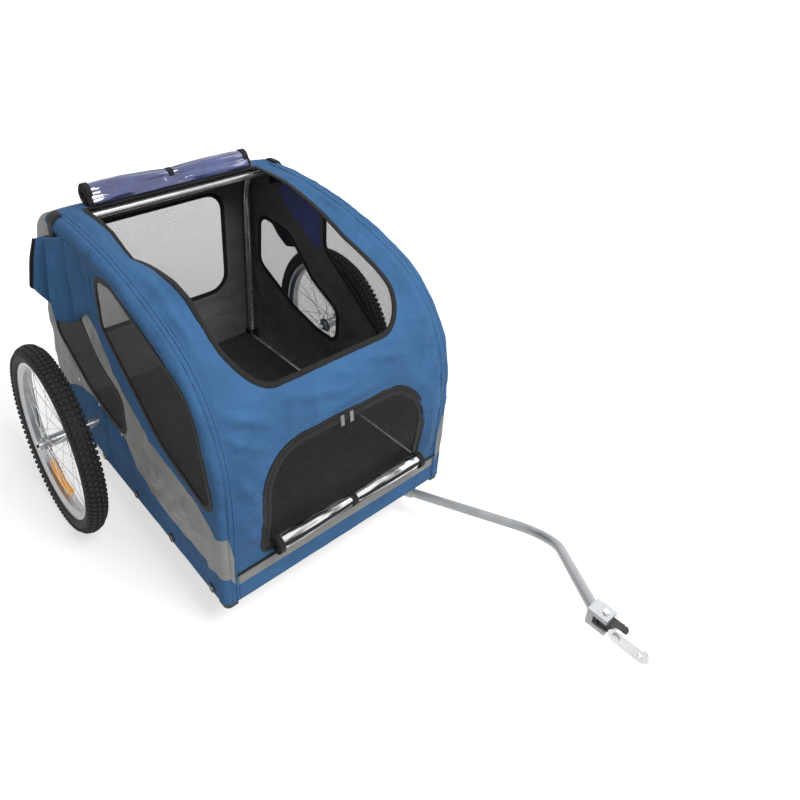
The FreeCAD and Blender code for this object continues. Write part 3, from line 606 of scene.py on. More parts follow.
def fill(outer, holes=(), lines=(), step=GRID):
    """Even triangles within an outline, less its holes, with edges along the given lines."""
    loops = [outer, *holes]
    low, high = outer.min(axis=0), outer.max(axis=0)
    rows = np.arange(low[1] + step / 2, high[1], step * 0.87)
    columns = np.arange(low[0] + step / 2, high[0], step)
    grid = np.array([(x + (step / 2 if k % 2 else 0.0), y) for k, y in enumerate(rows) for x in columns])
    keep = inside(grid, outer)
    for hole in holes:
        keep &= ~inside(grid, hole)
    grid = grid[keep]
    tree = nearest([*loops, *lines])
    grid = grid[[tree.find((*p, 0.0))[2] > step * 0.6 for p in grid]]
    points, edges = [], []
    for line, closed in [(loop, True) for loop in loops] + [(line, False) for line in lines]:
        start = len(points)
        points.extend(line)
        count = len(line)
        edges.extend((start + i, start + (i + 1) % count) for i in range(count if closed else count - 1))
    points.extend(grid)
    made = delaunay_2d_cdt([Vector(p) for p in points], edges, [], 0, 1e-7)
    flat = np.array([tuple(v) for v in made[0]])
    faces = np.array(made[2])
    centres = flat[faces].mean(axis=1)
    keep = inside(centres, outer)
    for hole in holes:
        keep &= ~inside(centres, hole)
    return flat, faces[keep]


# The body's surface
def make_profile(step=0.002):
    """Side profile from the bottom of the front, over the roof, to the bottom of the rear."""
    low_centre = np.array([FRONT_LOW_RADIUS, FRONT_STRAIGHT])
    dome_centre = np.array([ROOF_START, HEIGHT - DOME_RADIUS])
    rear_centre = np.array([LENGTH - REAR_RADIUS, HEIGHT - REAR_RADIUS])
    joint = math.atan2(*(low_centre - dome_centre)[::-1])
    points, normals = [], []

    def line(a, b, normal):
        parts = max(2, int(np.linalg.norm(np.subtract(b, a)) / step))
        for k in range(parts):
            points.append(np.add(a, np.subtract(b, a) * k / parts))
            normals.append(normal)

    def arc(centre, radius, start, end):
        parts = max(2, int(abs(end - start) * radius / step))
        for k in range(parts):
            angle = start + (end - start) * k / parts
            normal = np.array([math.cos(angle), math.sin(angle)])
            points.append(centre + normal * radius)
            normals.append(normal)

    line((0, 0), (0, FRONT_STRAIGHT), (-1, 0))
    arc(low_centre, FRONT_LOW_RADIUS, math.pi, joint)
    arc(dome_centre, DOME_RADIUS, joint, math.pi / 2)
    line((ROOF_START, HEIGHT), (rear_centre[0], HEIGHT), (0, 1))
    arc(rear_centre, REAR_RADIUS, math.pi / 2, 0.0)
    line((LENGTH, rear_centre[1]), (LENGTH, 0), (1, 0))
    points.append(np.array([LENGTH, 0.0]))
    normals.append(np.array([1.0, 0.0]))
    points, normals = np.array(points), np.array(normals)
    reach = np.concatenate([[0], np.cumsum(np.linalg.norm(np.diff(points, axis=0), axis=1))])
    return reach, points, normals


REACH, PROFILE, PROFILE_NORMAL = make_profile()
FLAT_HALF = HALF_WIDTH - CORNER_ROUND
EDGE = FLAT_HALF + CORNER_ROUND * math.pi / 2
ROOF_FROM = int(np.searchsorted(REACH, FRONT_STRAIGHT))
ROOF_TO = int(np.argmax(PROFILE[:, 0] > LENGTH - REAR_RADIUS))


def along_roof(back):
    """Distance along the profile to a place on the brow or roof that lies so far back."""
    span = slice(ROOF_FROM, ROOF_TO)
    return np.interp(back, PROFILE[span, 0], REACH[span])


def along_rear(height):
    """Distance along the profile to a height on the rear wall and the round above it."""
    span = slice(len(REACH) - 1, ROOF_TO, -1)
    return np.interp(height, PROFILE[span, 1], REACH[span])


def along_front(height):
    """Distance along the profile to a height on the front and brow."""
    span = slice(0, ROOF_TO)
    return np.interp(height, PROFILE[span, 1], REACH[span])


def first_beyond(back):
    """Distance along the profile to its first point that lies further back than this."""
    return float(REACH[int(np.argmax(PROFILE[:, 0] > back))])


def on_profile(values, along):
    """Pairs (back, up) held for the profile's points, read at distances along it."""
    return np.stack([np.interp(along, REACH, values[:, k]) for k in (0, 1)], axis=1)


def shell(flat, lift=0.0):
    """Points and normals on the front, roof and rear: flat holds (across, along the profile)."""
    across, along = flat[:, 0], flat[:, 1]
    back, height = on_profile(PROFILE, along).T
    normal_back, normal_up = on_profile(PROFILE_NORMAL, along).T
    size = np.abs(across)
    turn = np.clip((size - FLAT_HALF) / CORNER_ROUND, 0, math.pi / 2)
    side = np.sign(across)
    depth = CORNER_ROUND * (1 - np.cos(turn))
    x = side * (np.minimum(size, FLAT_HALF) + CORNER_ROUND * np.sin(turn))
    points = np.stack([x, FRONT + back - normal_back * depth, BOTTOM + height - normal_up * depth], axis=1)
    normals = np.stack([side * np.sin(turn), normal_back * np.cos(turn), normal_up * np.cos(turn)], axis=1)
    return points + normals * np.reshape(lift, (-1, 1)), normals


def swell(flat):
    """How far the front bulges, round the door."""
    across, along = flat[:, 0], flat[:, 1]
    upward = np.clip((along - DOOR[0][1] - SWELL_START) / SWELL_RISE, 0, 1)
    sideways = np.clip(1 - (np.abs(across) / FLAT_HALF) ** 2, 0, 1)
    return FRONT_SWELL * np.sin(np.pi * upward) ** 2 * np.sqrt(sideways)


def side_points(flat, side, lift=0.0):
    """Points and normals on a side panel: flat holds (back, height), side is -1 for the right."""
    count = len(flat)
    x = side * (HALF_WIDTH + np.broadcast_to(lift, count))
    points = np.stack([x, FRONT + flat[:, 0], BOTTOM + flat[:, 1]], axis=1)
    return points, np.tile([side, 0.0, 0.0], (count, 1)).astype(float)


# Cloth relief
def ripple(points, size, seed, stretch=(1.0, 1.0, 1.0)):
    """Soft noise, about -1 to 1, with features of the given size."""
    shift = Vector((seed * 3.7, seed * 1.9, seed * 5.3))
    scale = np.array(stretch) / size
    return np.array([noise.noise(Vector(p) + shift) for p in points * scale])


def folds(points, size, seed, stretch):
    """Narrow ridges, 0 to 1."""
    return (1 - np.abs(ripple(points, size, seed, stretch))) ** 4


def pucker(points, seams, pitch, reach):
    """Small gathers across a seam, fading away from it."""
    tree = nearest(seams)
    lift = np.zeros(len(points))
    for i, p in enumerate(points):
        _, index, distance = tree.find(p)
        if distance < 4 * reach:
            lift[i] = math.exp(-distance / reach) * math.sin(index * GRID / pitch * math.tau)
    return lift


def calm(points, spots, radius):
    """0 beside hard pieces that lie on the cloth, 1 away from them."""
    share = np.ones(len(points))
    for spot in spots:
        distance = np.linalg.norm(points - np.array(spot), axis=1)
        share = np.minimum(share, np.clip(distance / radius - 0.5, 0, 1))
    return share


def creases(flat, lines):
    """Soft folds along given lines, each with a shallow hollow beside it."""
    lift = np.zeros(len(flat))
    for start, end, width, height in lines:
        start, span = np.array(start), np.subtract(end, start)
        share = np.clip((flat - start) @ span / (span @ span), 0.0, 1.0)
        away = np.linalg.norm(flat - start - share[:, None] * span, axis=1)
        fade = np.sin(np.pi * np.clip(share, 0.06, 0.94)) ** 0.7
        lift += height * fade * (np.exp(-(away / width) ** 2) - 0.4 * np.exp(-(away / width - 2.0) ** 2))
    return lift


def ease_from(lines, points, reach):
    """0 on the given lines, 1 beyond the given reach from them."""
    tree = nearest(lines)
    return np.array([min(1.0, tree.find(p)[2] / reach) for p in points])


def relief(points, seed, stretch, seams, spots, height):
    """How far the cloth stands off its pattern."""
    lift = ripple(points, 0.16, seed) * 0.5 + 0.2
    lift += folds(points, 0.085, seed + 1, stretch) * 0.65
    lift += folds(points, 0.050, seed + 5, (0.6, 1.0, 0.8)) * 0.30
    lift += ripple(points, 0.035, seed + 2, stretch) * 0.20
    lift = lift * height
    if seams:
        lift += pucker(points, seams, PUCKER_PITCH, PUCKER_REACH) * PUCKER_HEIGHT
    return lift * calm(points, spots, STUD_CALM) if spots else lift


# Strips, stitches and tapes
def line_frame(points, normals, closed):
    ahead = np.roll(points, -1, axis=0) - np.roll(points, 1, axis=0)
    if not closed:
        ahead[0], ahead[-1] = points[1] - points[0], points[-1] - points[-2]
    ahead = ahead / np.linalg.norm(ahead, axis=1, keepdims=True)
    normals = normals / np.linalg.norm(normals, axis=1, keepdims=True)
    across = np.cross(normals, ahead)
    across = across / np.linalg.norm(across, axis=1, keepdims=True)
    return ahead, across, normals


def tape(name, points, normals, size, material, closed=True, body="root", shift=0.0, slot="black_webbing"):
    """Flat woven tape with rounded edges along a line on the cloth: size is (width, thickness)."""
    _, across, up = line_frame(points, normals, closed)
    width, thick = size
    rows = []
    for k in range(TAPE_SIDES):
        angle = math.tau * k / TAPE_SIDES
        sideways = math.copysign(abs(math.cos(angle)) ** 0.6, math.cos(angle)) * width / 2 + shift
        upward = math.copysign(abs(math.sin(angle)) ** 0.8, math.sin(angle)) * thick / 2
        rows.append(points + across * sideways + up * upward)
    verts = np.stack(rows, axis=1).reshape(-1, 3)
    faces = grid_faces(len(points), TAPE_SIDES, wrap_rows=closed, wrap_columns=True)
    if not closed:
        last = (len(points) - 1) * TAPE_SIDES
        faces += [tuple(range(TAPE_SIDES)), tuple(last + k for k in reversed(range(TAPE_SIDES)))]
    piece = make_piece(name, verts, faces, [material], body)
    fix_normals(piece)


def fix_normals(piece):
    made = bmesh.new()
    made.from_mesh(piece.data)
    bmesh.ops.recalc_face_normals(made, faces=made.faces)
    made.to_mesh(piece.data)
    made.free()


def stitch_rows(name, lines, size, material):
    """Rows of stitches: each line is (points, normals, closed), size is (pitch, length, thickness)."""
    pitch, length, thick = size
    sides = 4
    shape = [(-0.5, 0.35), (-0.25, 1.0), (0.25, 1.0), (0.5, 0.35)]
    last = (len(shape) - 1) * sides
    stitch_faces = grid_faces(len(shape), sides, wrap_columns=True)
    stitch_faces += [tuple(reversed(range(sides))), tuple(last + k for k in range(sides))]
    verts, faces = [], []
    for points, normals, closed in lines:
        even = spread(np.hstack([points, normals]), pitch, closed)
        points, normals = even[:, :3], even[:, 3:]
        ahead, across, up = line_frame(points, normals, closed)
        for p, a, c, u in zip(points, ahead, across, up):
            start = len(verts)
            for place, share in shape:
                centre = p + a * place * length + u * thick * 0.3 * share
                for k in range(sides):
                    angle = math.tau * k / sides
                    verts.append(centre + (c * math.cos(angle) + u * math.sin(angle)) * thick * share)
            faces += [tuple(start + v for v in face) for face in stitch_faces]
    make_piece(name, verts, faces, [material])


def netting(name, node, points, normals, faces, material, body="root"):
    """Stretched netting in the place of a plain plate."""
    piece = make_piece(name, points, facing(points, faces, normals), [material], body)
    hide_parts(node)


# Sewn cover
def lay(name, points, normals, faces, materials, face_materials=None):
    """Panel of lined cloth over the frame."""
    faces = facing(points, faces, normals)
    piece = make_piece(name, points, faces, materials, face_materials=face_materials)
    thicken(piece, CLOTH, lining_step=1)
    return piece


def opening_edge():
    """Edge of the roof opening, from the right rear round the front to the left rear, as (across, along)."""
    plan = rounded([(-OPENING_HALF_FRONT, OPENING_FRONT, OPENING_CORNER),
                    (OPENING_HALF_FRONT, OPENING_FRONT, OPENING_CORNER),
                    (OPENING_HALF_REAR, OPENING_REAR + 0.03, 0.004),
                    (-OPENING_HALF_REAR, OPENING_REAR + 0.03, 0.004)], GRID * 0.6)
    top = float(along_roof(OPENING_REAR))
    edge = np.stack([plan[:, 0], along_roof(plan[:, 1])], axis=1)
    edge = edge[edge[:, 1] < top]
    return edge[np.argsort(np.arctan2(edge[:, 0], top - edge[:, 1]))]


def slack(flat):
    """How far the cloth beside the roof opening lifts or sags, most at the opening's edge."""
    across, along = flat[:, 0], flat[:, 1]
    back = np.interp(along, REACH, PROFILE[:, 0])
    share = (back - OPENING_FRONT) / (OPENING_REAR - OPENING_FRONT)
    edge = OPENING_HALF_FRONT + (OPENING_HALF_REAR - OPENING_HALF_FRONT) * share
    near = np.clip(1 - (np.abs(across) - edge) / SLACK_REACH, 0, 1) ** 1.5
    right = np.interp(back, *zip(*RIGHT_SLACK))
    left = np.interp(back, *zip(*LEFT_SLACK))
    return np.where(across < 0, right, left) * near * (along > FRONT_STRAIGHT)


def edge_ease(flat):
    """0 at the long edges, where the cloth is sewn to the sides, 1 away from them."""
    return np.clip((FLAT_HALF - np.abs(flat[:, 0])) / EDGE_EASE, 0.0, 1.0)


def door_edge():
    """Edge of the front door, as (across, along)."""
    return rounded([(a, along_front(b), r) for a, b, r in DOOR], GRID * 0.7)


def front_cover():
    """Front, brow and the two strips beside the roof opening, in one cloth."""
    top = float(along_roof(OPENING_REAR))
    seam_x = HALF_WIDTH - SEAM_INSET
    opening = opening_edge()
    sides = spread([(FLAT_HALF, top), (FLAT_HALF, 0.0), (-FLAT_HALF, 0.0), (-FLAT_HALF, top)], GRID)
    outline = np.vstack([sides, [[-OPENING_HALF_REAR, top]], opening, [[OPENING_HALF_REAR, top]]])
    door = door_edge()
    stripe_lines = [spread([(-seam_x, s), (seam_x, s)], GRID) for s in (STRIPE_LOW, STRIPE_HIGH)]
    seam_end = 0.006
    corner_lines = [spread([(side * seam_x, seam_end), (side * seam_x, top - seam_end)], GRID)
                    for side in (-1, 1)]
    band_ends = list(zip((BAND_END_LOW, BAND_END_HIGH), BAND_CORNER))
    band_lines = [spread([(side * seam_x, inner), (side * FLAT_HALF, outer)], GRID)
                  for side in (-1, 1) for inner, outer in band_ends]
    flat, faces = fill(outline, [door], stripe_lines + corner_lines + band_lines)
    points, normals = shell(flat)
    door_3d = shell(door, swell(door))[0]
    edge_3d = shell(opening)[0]
    seams = [door_3d, edge_3d] + [shell(line)[0] for line in corner_lines]
    ease = ease_from([edge_3d, door_3d], points, FRONT_HEM_EASE)
    seam_ease = np.clip(np.abs(np.abs(flat[:, 0]) - seam_x) / SEAM_EASE, 0.0, 1.0)
    foot_ease = np.clip((flat[:, 1] - STRIPE_HIGH - FRONT_PIPING[0]) / FOOT_EASE, 0.08, 1.0)
    lift = relief(points, 3, (1.0, 0.45, 0.55), seams, [], FRONT_RELIEF)
    lift = (lift + creases(flat, FRONT_CREASES)) * ease * (0.15 + 0.85 * seam_ease) * foot_ease
    lift = lift * edge_ease(flat) + swell(flat) + slack(flat)
    centres = flat[faces].mean(axis=1)
    stripe = (np.abs(centres[:, 0]) < seam_x) & (centres[:, 1] > STRIPE_LOW) & (centres[:, 1] < STRIPE_HIGH)
    turn = (np.abs(centres[:, 0]) - seam_x) / (FLAT_HALF - seam_x)
    band = (turn > 0) & (centres[:, 1] > BAND_END_LOW + (BAND_CORNER[0] - BAND_END_LOW) * turn)
    band &= centres[:, 1] < BAND_END_HIGH + (BAND_CORNER[1] - BAND_END_HIGH) * turn
    piece = lay("front_cover", points + normals * lift[:, None], normals, faces,
                [BLUE, LINING, GREY, LINING], np.where(stripe | band, 2, 0))
    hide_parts("front_panel", "right_roof_strip", "left_roof_strip")
    front_trim(top, seam_x, opening, corner_lines)


def front_trim(top, seam_x, opening, corner_lines):
    """Binding, welts, stitches and piping of the front cover."""
    rear_edge = spread([(OPENING_HALF_REAR, top), (-OPENING_HALF_REAR, top)], GRID)
    bound = np.vstack([opening, rear_edge])
    tape("opening_binding", *shell(bound, slack(bound)), OPENING_BINDING, BLACK_TAPE)
    stitch_x = seam_x - STITCH_ASIDE
    rows = []
    for side, line in zip((-1, 1), corner_lines):
        row = spread([(side * stitch_x, 0.01), (side * stitch_x, top)], GRID)
        rows.append((*shell(row, swell(row) + slack(row) + CORNER_STITCH_LIFT), False))
        welt = shell(line, swell(line) + slack(line) + WELT_LIFT)
        tape(side_name(side) + "corner_seam", *welt, CORNER_WELT, BLUE, closed=False, slot="blue_cloth")
    stitch_rows("front_cover_stitches", rows, SEWN_STITCH, THREAD)
    above = STRIPE_HIGH + FRONT_PIPING[0] / 2
    piping = spread([(-seam_x, above), (seam_x, above)], GRID)
    tape("front_piping", *shell(piping, swell(piping) + PIPING_LIFT), FRONT_PIPING, BLACK_TAPE, closed=False)


def door_pieces():
    """Netting door with its zip: a tape on the door, a tape on the cover and the coil between them."""
    outline = door_edge()
    flat, faces = fill(outline, step=GRID * 1.2)
    points, normals = shell(flat, swell(flat) - NET_SINK)
    netting("door_netting", "front_door", points, normals, faces, DOOR_MESH, "front_door")
    edge = shell(outline, swell(outline))
    tape("door_zip_tape", *edge, DOOR_ZIP_TAPE, BLACK_ZIP, body="front_door", shift=DOOR_ZIP_SHIFT)
    tape("cover_zip_tape", *edge, COVER_ZIP_TAPE, BLACK_TAPE, shift=COVER_ZIP_SHIFT)
    stitch_rows("door_zip_coil", [(*edge, True)], ZIP_TOOTH, BLACK_PLASTIC)


def rear_cover():
    """Roof behind the opening and the rear wall, in grey cloth with a netting window."""
    top = along_roof(OPENING_REAR + 0.001)
    end = REACH[-1]
    outline = spread([(FLAT_HALF, top), (FLAT_HALF, end), (-FLAT_HALF, end), (-FLAT_HALF, top)], GRID, True)
    window = rounded([(a, along_rear(b), r) for a, b, r in REAR_MESH], GRID * 0.7)
    blue_end = first_beyond(ROOF_BLUE_END)
    flat, faces = fill(outline, [window], [spread([(-FLAT_HALF, blue_end), (FLAT_HALF, blue_end)], GRID)])
    blue = flat[faces].mean(axis=1)[:, 1] < blue_end
    window_3d, window_normals = shell(window)
    points, normals = shell(flat)
    lift = relief(points, 11, (0.5, 1.0, 1.0), [window_3d], [], REAR_RELIEF)
    low = np.clip((end - flat[:, 1]) / REAR_FOOT_EASE, 0, 1)
    early = np.clip((flat[:, 1] - top) / ROOF_EASE, 0, 1)
    ease = ease_from([window_3d], points, HEM_EASE)
    points = points + normals * (lift * low * early * ease * edge_ease(flat))[:, None]
    piece = lay("rear_cover_cloth", points, normals, faces,
                [GREY, LINING, BLUE, LINING], np.where(blue, 2, 0))
    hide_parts("rear_cover")
    corner_fittings()
    flat, faces = fill(window, step=GRID * 1.3)
    points, normals = shell(flat, -NET_SINK)
    netting("rear_window_netting", "rear_window", points, normals, faces, REAR_NET)
    tape("rear_window_binding", window_3d, window_normals, REAR_BINDING, BLACK_TAPE)


def corner_fittings():
    """Black fitting that shows over each rear top corner of the cover."""
    along = first_beyond(CORNER_FITTING_BACK)
    steps = 9
    across = np.linspace(HALF_WIDTH - FITTING_REACH, EDGE, 16)
    for side in (-1, 1):
        over = np.stack([side * across, np.full(len(across), along)], axis=1)
        top, top_normals = shell(over, FITTING_LIFT)
        down = np.tile(top[-1], (steps, 1))
        down[:, 2] -= np.linspace(*FITTING_DROP, steps)
        fitting_normals = np.vstack([top_normals, np.tile([side, 0.0, 0.0], (steps, 1))])
        tape(side_name(side) + "corner_fitting", np.vstack([top, down]), fitting_normals, FITTING_TAPE,
             WEBBING, closed=False)


def stud_centres(node, side):
    """Middles of the separate studs of a node on one side."""
    verts = np.array([v.co for v in nodes[node].data.vertices])
    verts = verts[verts[:, 0] * side > 0]
    groups = []
    for v in verts:
        for found in groups:
            if abs(v[1] - found[0][1]) < STUD_SPREAD and abs(v[2] - found[0][2]) < STUD_SPREAD:
                found.append(v)
                break
        else:
            groups.append([v])
    return [(np.min(g, axis=0) + np.max(g, axis=0)) / 2 for g in groups]


def hardware_spots(side):
    """Middles of the studs that lie on a side panel."""
    return [(side * HALF_WIDTH, c[1], c[2]) for name in ("snaps", "rivets") for c in stud_centres(name, side)]


def calm_plate(prefix, points):
    """0 under the wheel bracket's plate, 1 away from it."""
    low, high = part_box(prefix + "wheel_bracket")
    back = np.maximum(low.y - points[:, 1], points[:, 1] - high.y)
    away = np.maximum(back, np.maximum(low.z - points[:, 2], points[:, 2] - high.z))
    return np.clip((away - PLATE_MARGIN) / PLATE_EASE, 0.0, 1.0)


def bracket_patch(prefix, side):
    """Cloth sewn over the wheel bracket's plate, with a hole for the axle."""
    low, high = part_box(prefix + "wheel_bracket")
    low_z = BOTTOM + BRACKET_TONGUE - PATCH_EASE
    back = (low.y - FRONT - PATCH_MARGIN, high.y - FRONT + PATCH_MARGIN)
    rise = (low_z - BOTTOM - PATCH_EASE, high.z - BOTTOM + PATCH_MARGIN)
    corners = [(back[0], rise[0], PATCH_LOW_CORNER), (back[1], rise[0], PATCH_LOW_CORNER),
               (back[1], rise[1], PATCH_TOP_CORNER), (back[0], rise[1], PATCH_TOP_CORNER)]
    outline = rounded(corners, GRID * 0.5)
    axle_low, axle_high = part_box(prefix + "axle")
    turns = np.arange(32) * math.tau / 32
    centre = np.array([(axle_low.y + axle_high.y) / 2 - FRONT, (axle_low.z + axle_high.z) / 2 - BOTTOM])
    hole = centre + AXLE_HOLE * np.stack([np.cos(turns), np.sin(turns)], axis=1)
    flat, faces = fill(outline, [hole], step=GRID * 0.6)
    beside = np.maximum(low.y - FRONT - flat[:, 0], flat[:, 0] - high.y + FRONT)
    away = np.maximum(beside, flat[:, 1] - high.z + BOTTOM)
    share = np.clip(1 - (away - PATCH_EASE) / PATCH_SLOPE, 0.0, 1.0)
    lift = BRACKET_LIFT * share * share * (3 - 2 * share) + 0.0012
    points, normals = side_points(flat, side, lift)
    points[:, 0] += side * ripple(points, 0.03, 9) * 0.0007
    faces = facing(points, faces, normals)
    piece = make_piece(prefix + "bracket_patch", points, faces, [BLUE])
    thicken(piece, PATCH_CLOTH)


def runs_on_cloth(line, outline, windows):
    """Runs of a line that lie within the panel's outline and outside its windows."""
    on_cloth = inside(line, outline)
    for window in windows:
        on_cloth &= ~inside(line, window)
    runs = np.split(np.arange(len(line)), np.where(np.diff(on_cloth.astype(int)) != 0)[0] + 1)
    return [line[run] for run in runs if on_cloth[run[0]] and len(run) > 2]


def side_cover(side):
    """One side of the cover: flat panel with two windows, rounded over to the seam at its edge."""
    prefix = side_name(side)
    corner = np.array([FRONT, BOTTOM])
    top_line = smooth_line(BAND_TOP, GRID * 0.8)
    bottom_line = smooth_line(BAND_BOTTOM, GRID * 0.8)
    stops = np.unique(np.concatenate([np.arange(0, REACH[-1], GRID), BAND_CORNER, [REACH[-1]]]))
    edge = on_profile(PROFILE, stops) - on_profile(PROFILE_NORMAL, stops) * CORNER_ROUND
    bottom = spread([edge[-1], edge[0]], GRID)[1:-1]
    outline = np.vstack([edge, bottom])
    windows = [rounded(FRONT_WINDOW, GRID * 0.7), rounded(REAR_WINDOW, GRID * 0.7)]
    seams = [run for line in (top_line, bottom_line) for run in runs_on_cloth(line, outline, windows)]
    flat, faces = fill(outline, windows, seams)
    points, normals = side_points(flat, side)
    strip_turns = np.linspace(math.pi / 2, 0.0, 7)
    strip_flat = np.array([(side * (FLAT_HALF + CORNER_ROUND * t), s) for t in strip_turns for s in stops])
    strip, strip_normals = shell(strip_flat)
    strip_faces = np.array(grid_faces(len(strip_turns), len(stops)))
    all_points = np.vstack([points, strip])
    all_normals = np.vstack([normals, strip_normals])
    all_faces = [tuple(f) for f in faces] + [tuple(f + len(points)) for f in strip_faces]
    window_lines = [side_points(w, side)[0] for w in windows]
    spots = hardware_spots(side)
    lift = relief(all_points, 21 if side < 0 else 31, (1.0, 0.6, 0.9), window_lines, spots, SIDE_RELIEF)
    ease = ease_from(window_lines, all_points, HEM_EASE)
    rim = np.ones(len(all_points))
    rim[len(points):] = np.tile(np.linspace(1.0, 0.0, len(strip_turns))[:, None], (1, len(stops))).ravel()
    low = np.clip((all_points[:, 2] - BOTTOM - SIDE_FOOT) / SIDE_FOOT_EASE, 0.0, 1.0)
    folded = creases(all_points[:, 1:] - corner, SIDE_CREASES)
    lift = lift * low + folded * calm(all_points, spots, CREASE_CALM)
    lift = lift * ease * rim * calm_plate(prefix, all_points)
    shown = all_points + all_normals * lift[:, None]
    zone = np.vstack([top_line, [[1.2, 0.9]], [[1.2, 0.0]], bottom_line[::-1]])
    centres = np.array([all_points[list(f)].mean(axis=0) for f in all_faces])[:, 1:] - corner
    grey = inside(centres, zone)
    strip_along = np.tile((stops[:-1] + stops[1:]) / 2, len(strip_turns) - 1)
    at_corner = (strip_along > BAND_CORNER[0]) & (strip_along < BAND_CORNER[1])
    grey[len(faces):] = np.where(strip_along < FRONT_STRAIGHT, at_corner, grey[len(faces):])
    navy = inside(centres, np.array(NAVY_ZONE)) & ~grey
    index = np.where(grey, 2, np.where(navy, 4, 0))
    piece = lay(prefix + "side_cover", shown, all_normals, all_faces,
                [BLUE, LINING, GREY, LINING, BLUE, NAVY], index)
    weld(piece)
    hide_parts(prefix + "side_panel")
    for window, name in zip(windows, ("front_window", "rear_window")):
        window_pieces(prefix, side, window, name)
    bracket_patch(prefix, side)
    snap_rims(prefix, side)
    rows = [(*side_points(seam, side, BAND_STITCH_LIFT), False) for seam in seams if len(seam) > 6]
    stitch_rows(prefix + "band_stitches", rows, SEWN_STITCH, GREY_THREAD)


def snap_rims(prefix, side):
    """Black rims round the press studs along the bottom."""
    verts, faces = [], []
    section = [(0.0108, 0.0003), (0.0108, 0.0026), (0.0086, 0.0046), (0.0060, 0.0046), (0.0052, 0.0034)]
    around = 28
    for centre in stud_centres("snaps", side):
        start = len(verts)
        for k in range(around):
            turn = math.tau * k / around
            for radius, proud in section:
                verts.append((side * (HALF_WIDTH + proud), centre[1] + radius * math.cos(turn),
                              centre[2] + radius * math.sin(turn)))
        faces += [tuple(start + v for v in f) for f in grid_faces(around, len(section), wrap_rows=True)]
    piece = make_piece(prefix + "snap_rims", verts, faces, [BLACK_PLASTIC])
    fix_normals(piece)


def weld(piece):
    """Joins vertices that lie together."""
    made = bmesh.new()
    made.from_mesh(piece.data)
    bmesh.ops.remove_doubles(made, verts=made.verts, dist=WELD_GAP)
    made.to_mesh(piece.data)
    made.free()


def window_pieces(prefix, side, outline, name):
    """Netting and binding of one side window."""
    flat, faces = fill(outline, step=GRID * 1.3)
    points, normals = side_points(flat, side, -NET_SINK)
    node = prefix + name
    netting(node + "_netting", node, points, normals, faces, SIDE_MESH)
    tape(node + "_binding", *side_points(outline, side), SIDE_BINDING, BLACK_TAPE)


front_cover()
door_pieces()
rear_cover()
for side in (-1, 1):
    side_cover(side)


# Rolled covers
TAIL_ROWS = 12
STRAP_IN = 0.009
ROLL_CORE = 0.35
FILM_LAP = 0.020
FILM = 0.0009
FILM_HEM = 0.010
TAIL_BOW = 0.007
PINCH_REACH = 0.020
STRAP_WIDTH = 0.014
STRAP_THICK = 0.0022


def rolled(name, node, material, body, radius, length, ahead, seed, waist, ends=(1.0, 1.0),
           sewn_to=None):
    """Film of a given length wound on itself and drawn in at its straps, with its underside in place."""
    low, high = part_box(node)
    middle = (low + high) / 2 - Vector((0.0, ahead, 0.0))
    half = (high.x - low.x) / 2
    per_turn, stations = 44, 110
    turns = length / (math.tau * radius * (1 + ROLL_CORE) / 2 * sum(ends) / 2)
    count = int(turns * per_turn)
    places = (STRAP_IN - half, 0.0, half - STRAP_IN)
    xs = np.linspace(-half, half, stations)

    def girth(x):
        return radius * float(np.interp(x, (-half, half), ends))

    verts = []
    for x in xs:
        pull = waist * math.exp(-(x / 0.075) ** 2) + 0.07 * math.exp(-(x / PINCH_REACH) ** 2)
        pull += 0.08 * sum(math.exp(-((x - s) / PINCH_REACH) ** 2) for s in (places[0], places[2]))
        axis_z = middle.z - radius + girth(x)
        for k in range(count + 1):
            share = k / count
            angle = math.pi - 0.2 - math.tau * turns * (1 - share)
            r = girth(x) * (ROLL_CORE + (1 - ROLL_CORE) * share)
            wrinkle = noise.noise(Vector((x * 7 + seed, math.cos(angle) * 1.6, math.sin(angle) * 1.6)))
            wrinkle += 0.7 * noise.noise(Vector((x * 20 + angle * 0.9, seed, angle * 0.8)))
            wrinkle += 1.2 * math.exp(-(x / 0.11) ** 2) * math.sin(angle * 5 + seed) * (abs(x) > 0.012)
            r *= 1 - pull + 0.05 * wrinkle
            verts.append((middle.x + x, middle.y + r * math.cos(angle), axis_z + r * math.sin(angle)))
        if sewn_to:
            last = np.array(verts[-1])
            for k in range(1, TAIL_ROWS + 1):
                share = k / TAIL_ROWS
                uneven = 1 + noise.noise(Vector((x * 14, share * 2, seed)))
                bow = -TAIL_BOW * math.sin(math.pi * share) * uneven
                place = last * (1 - share) + np.array((last[0], *sewn_to)) * share
                verts.append((place[0], place[1] + bow, place[2]))
    rows = count + 1 + (TAIL_ROWS if sewn_to else 0)
    faces = grid_faces(stations, rows)
    index = [1 if abs(xs[i]) > half - FILM_HEM or j > rows - 5 else 0
             for i in range(stations - 1) for j in range(rows - 1)]
    piece = make_piece(name, verts, faces, [material, BLACK_TAPE], body, index)
    thicken(piece, FILM, 0.0)
    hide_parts(node)
    loops = [(x, girth(x) * (0.97 - drawn), middle.z - radius + girth(x))
             for x, drawn in zip(places, (0.0, waist + 0.04, 0.0))]
    bands(name + "_straps", node + "_straps", body, middle.y, loops)


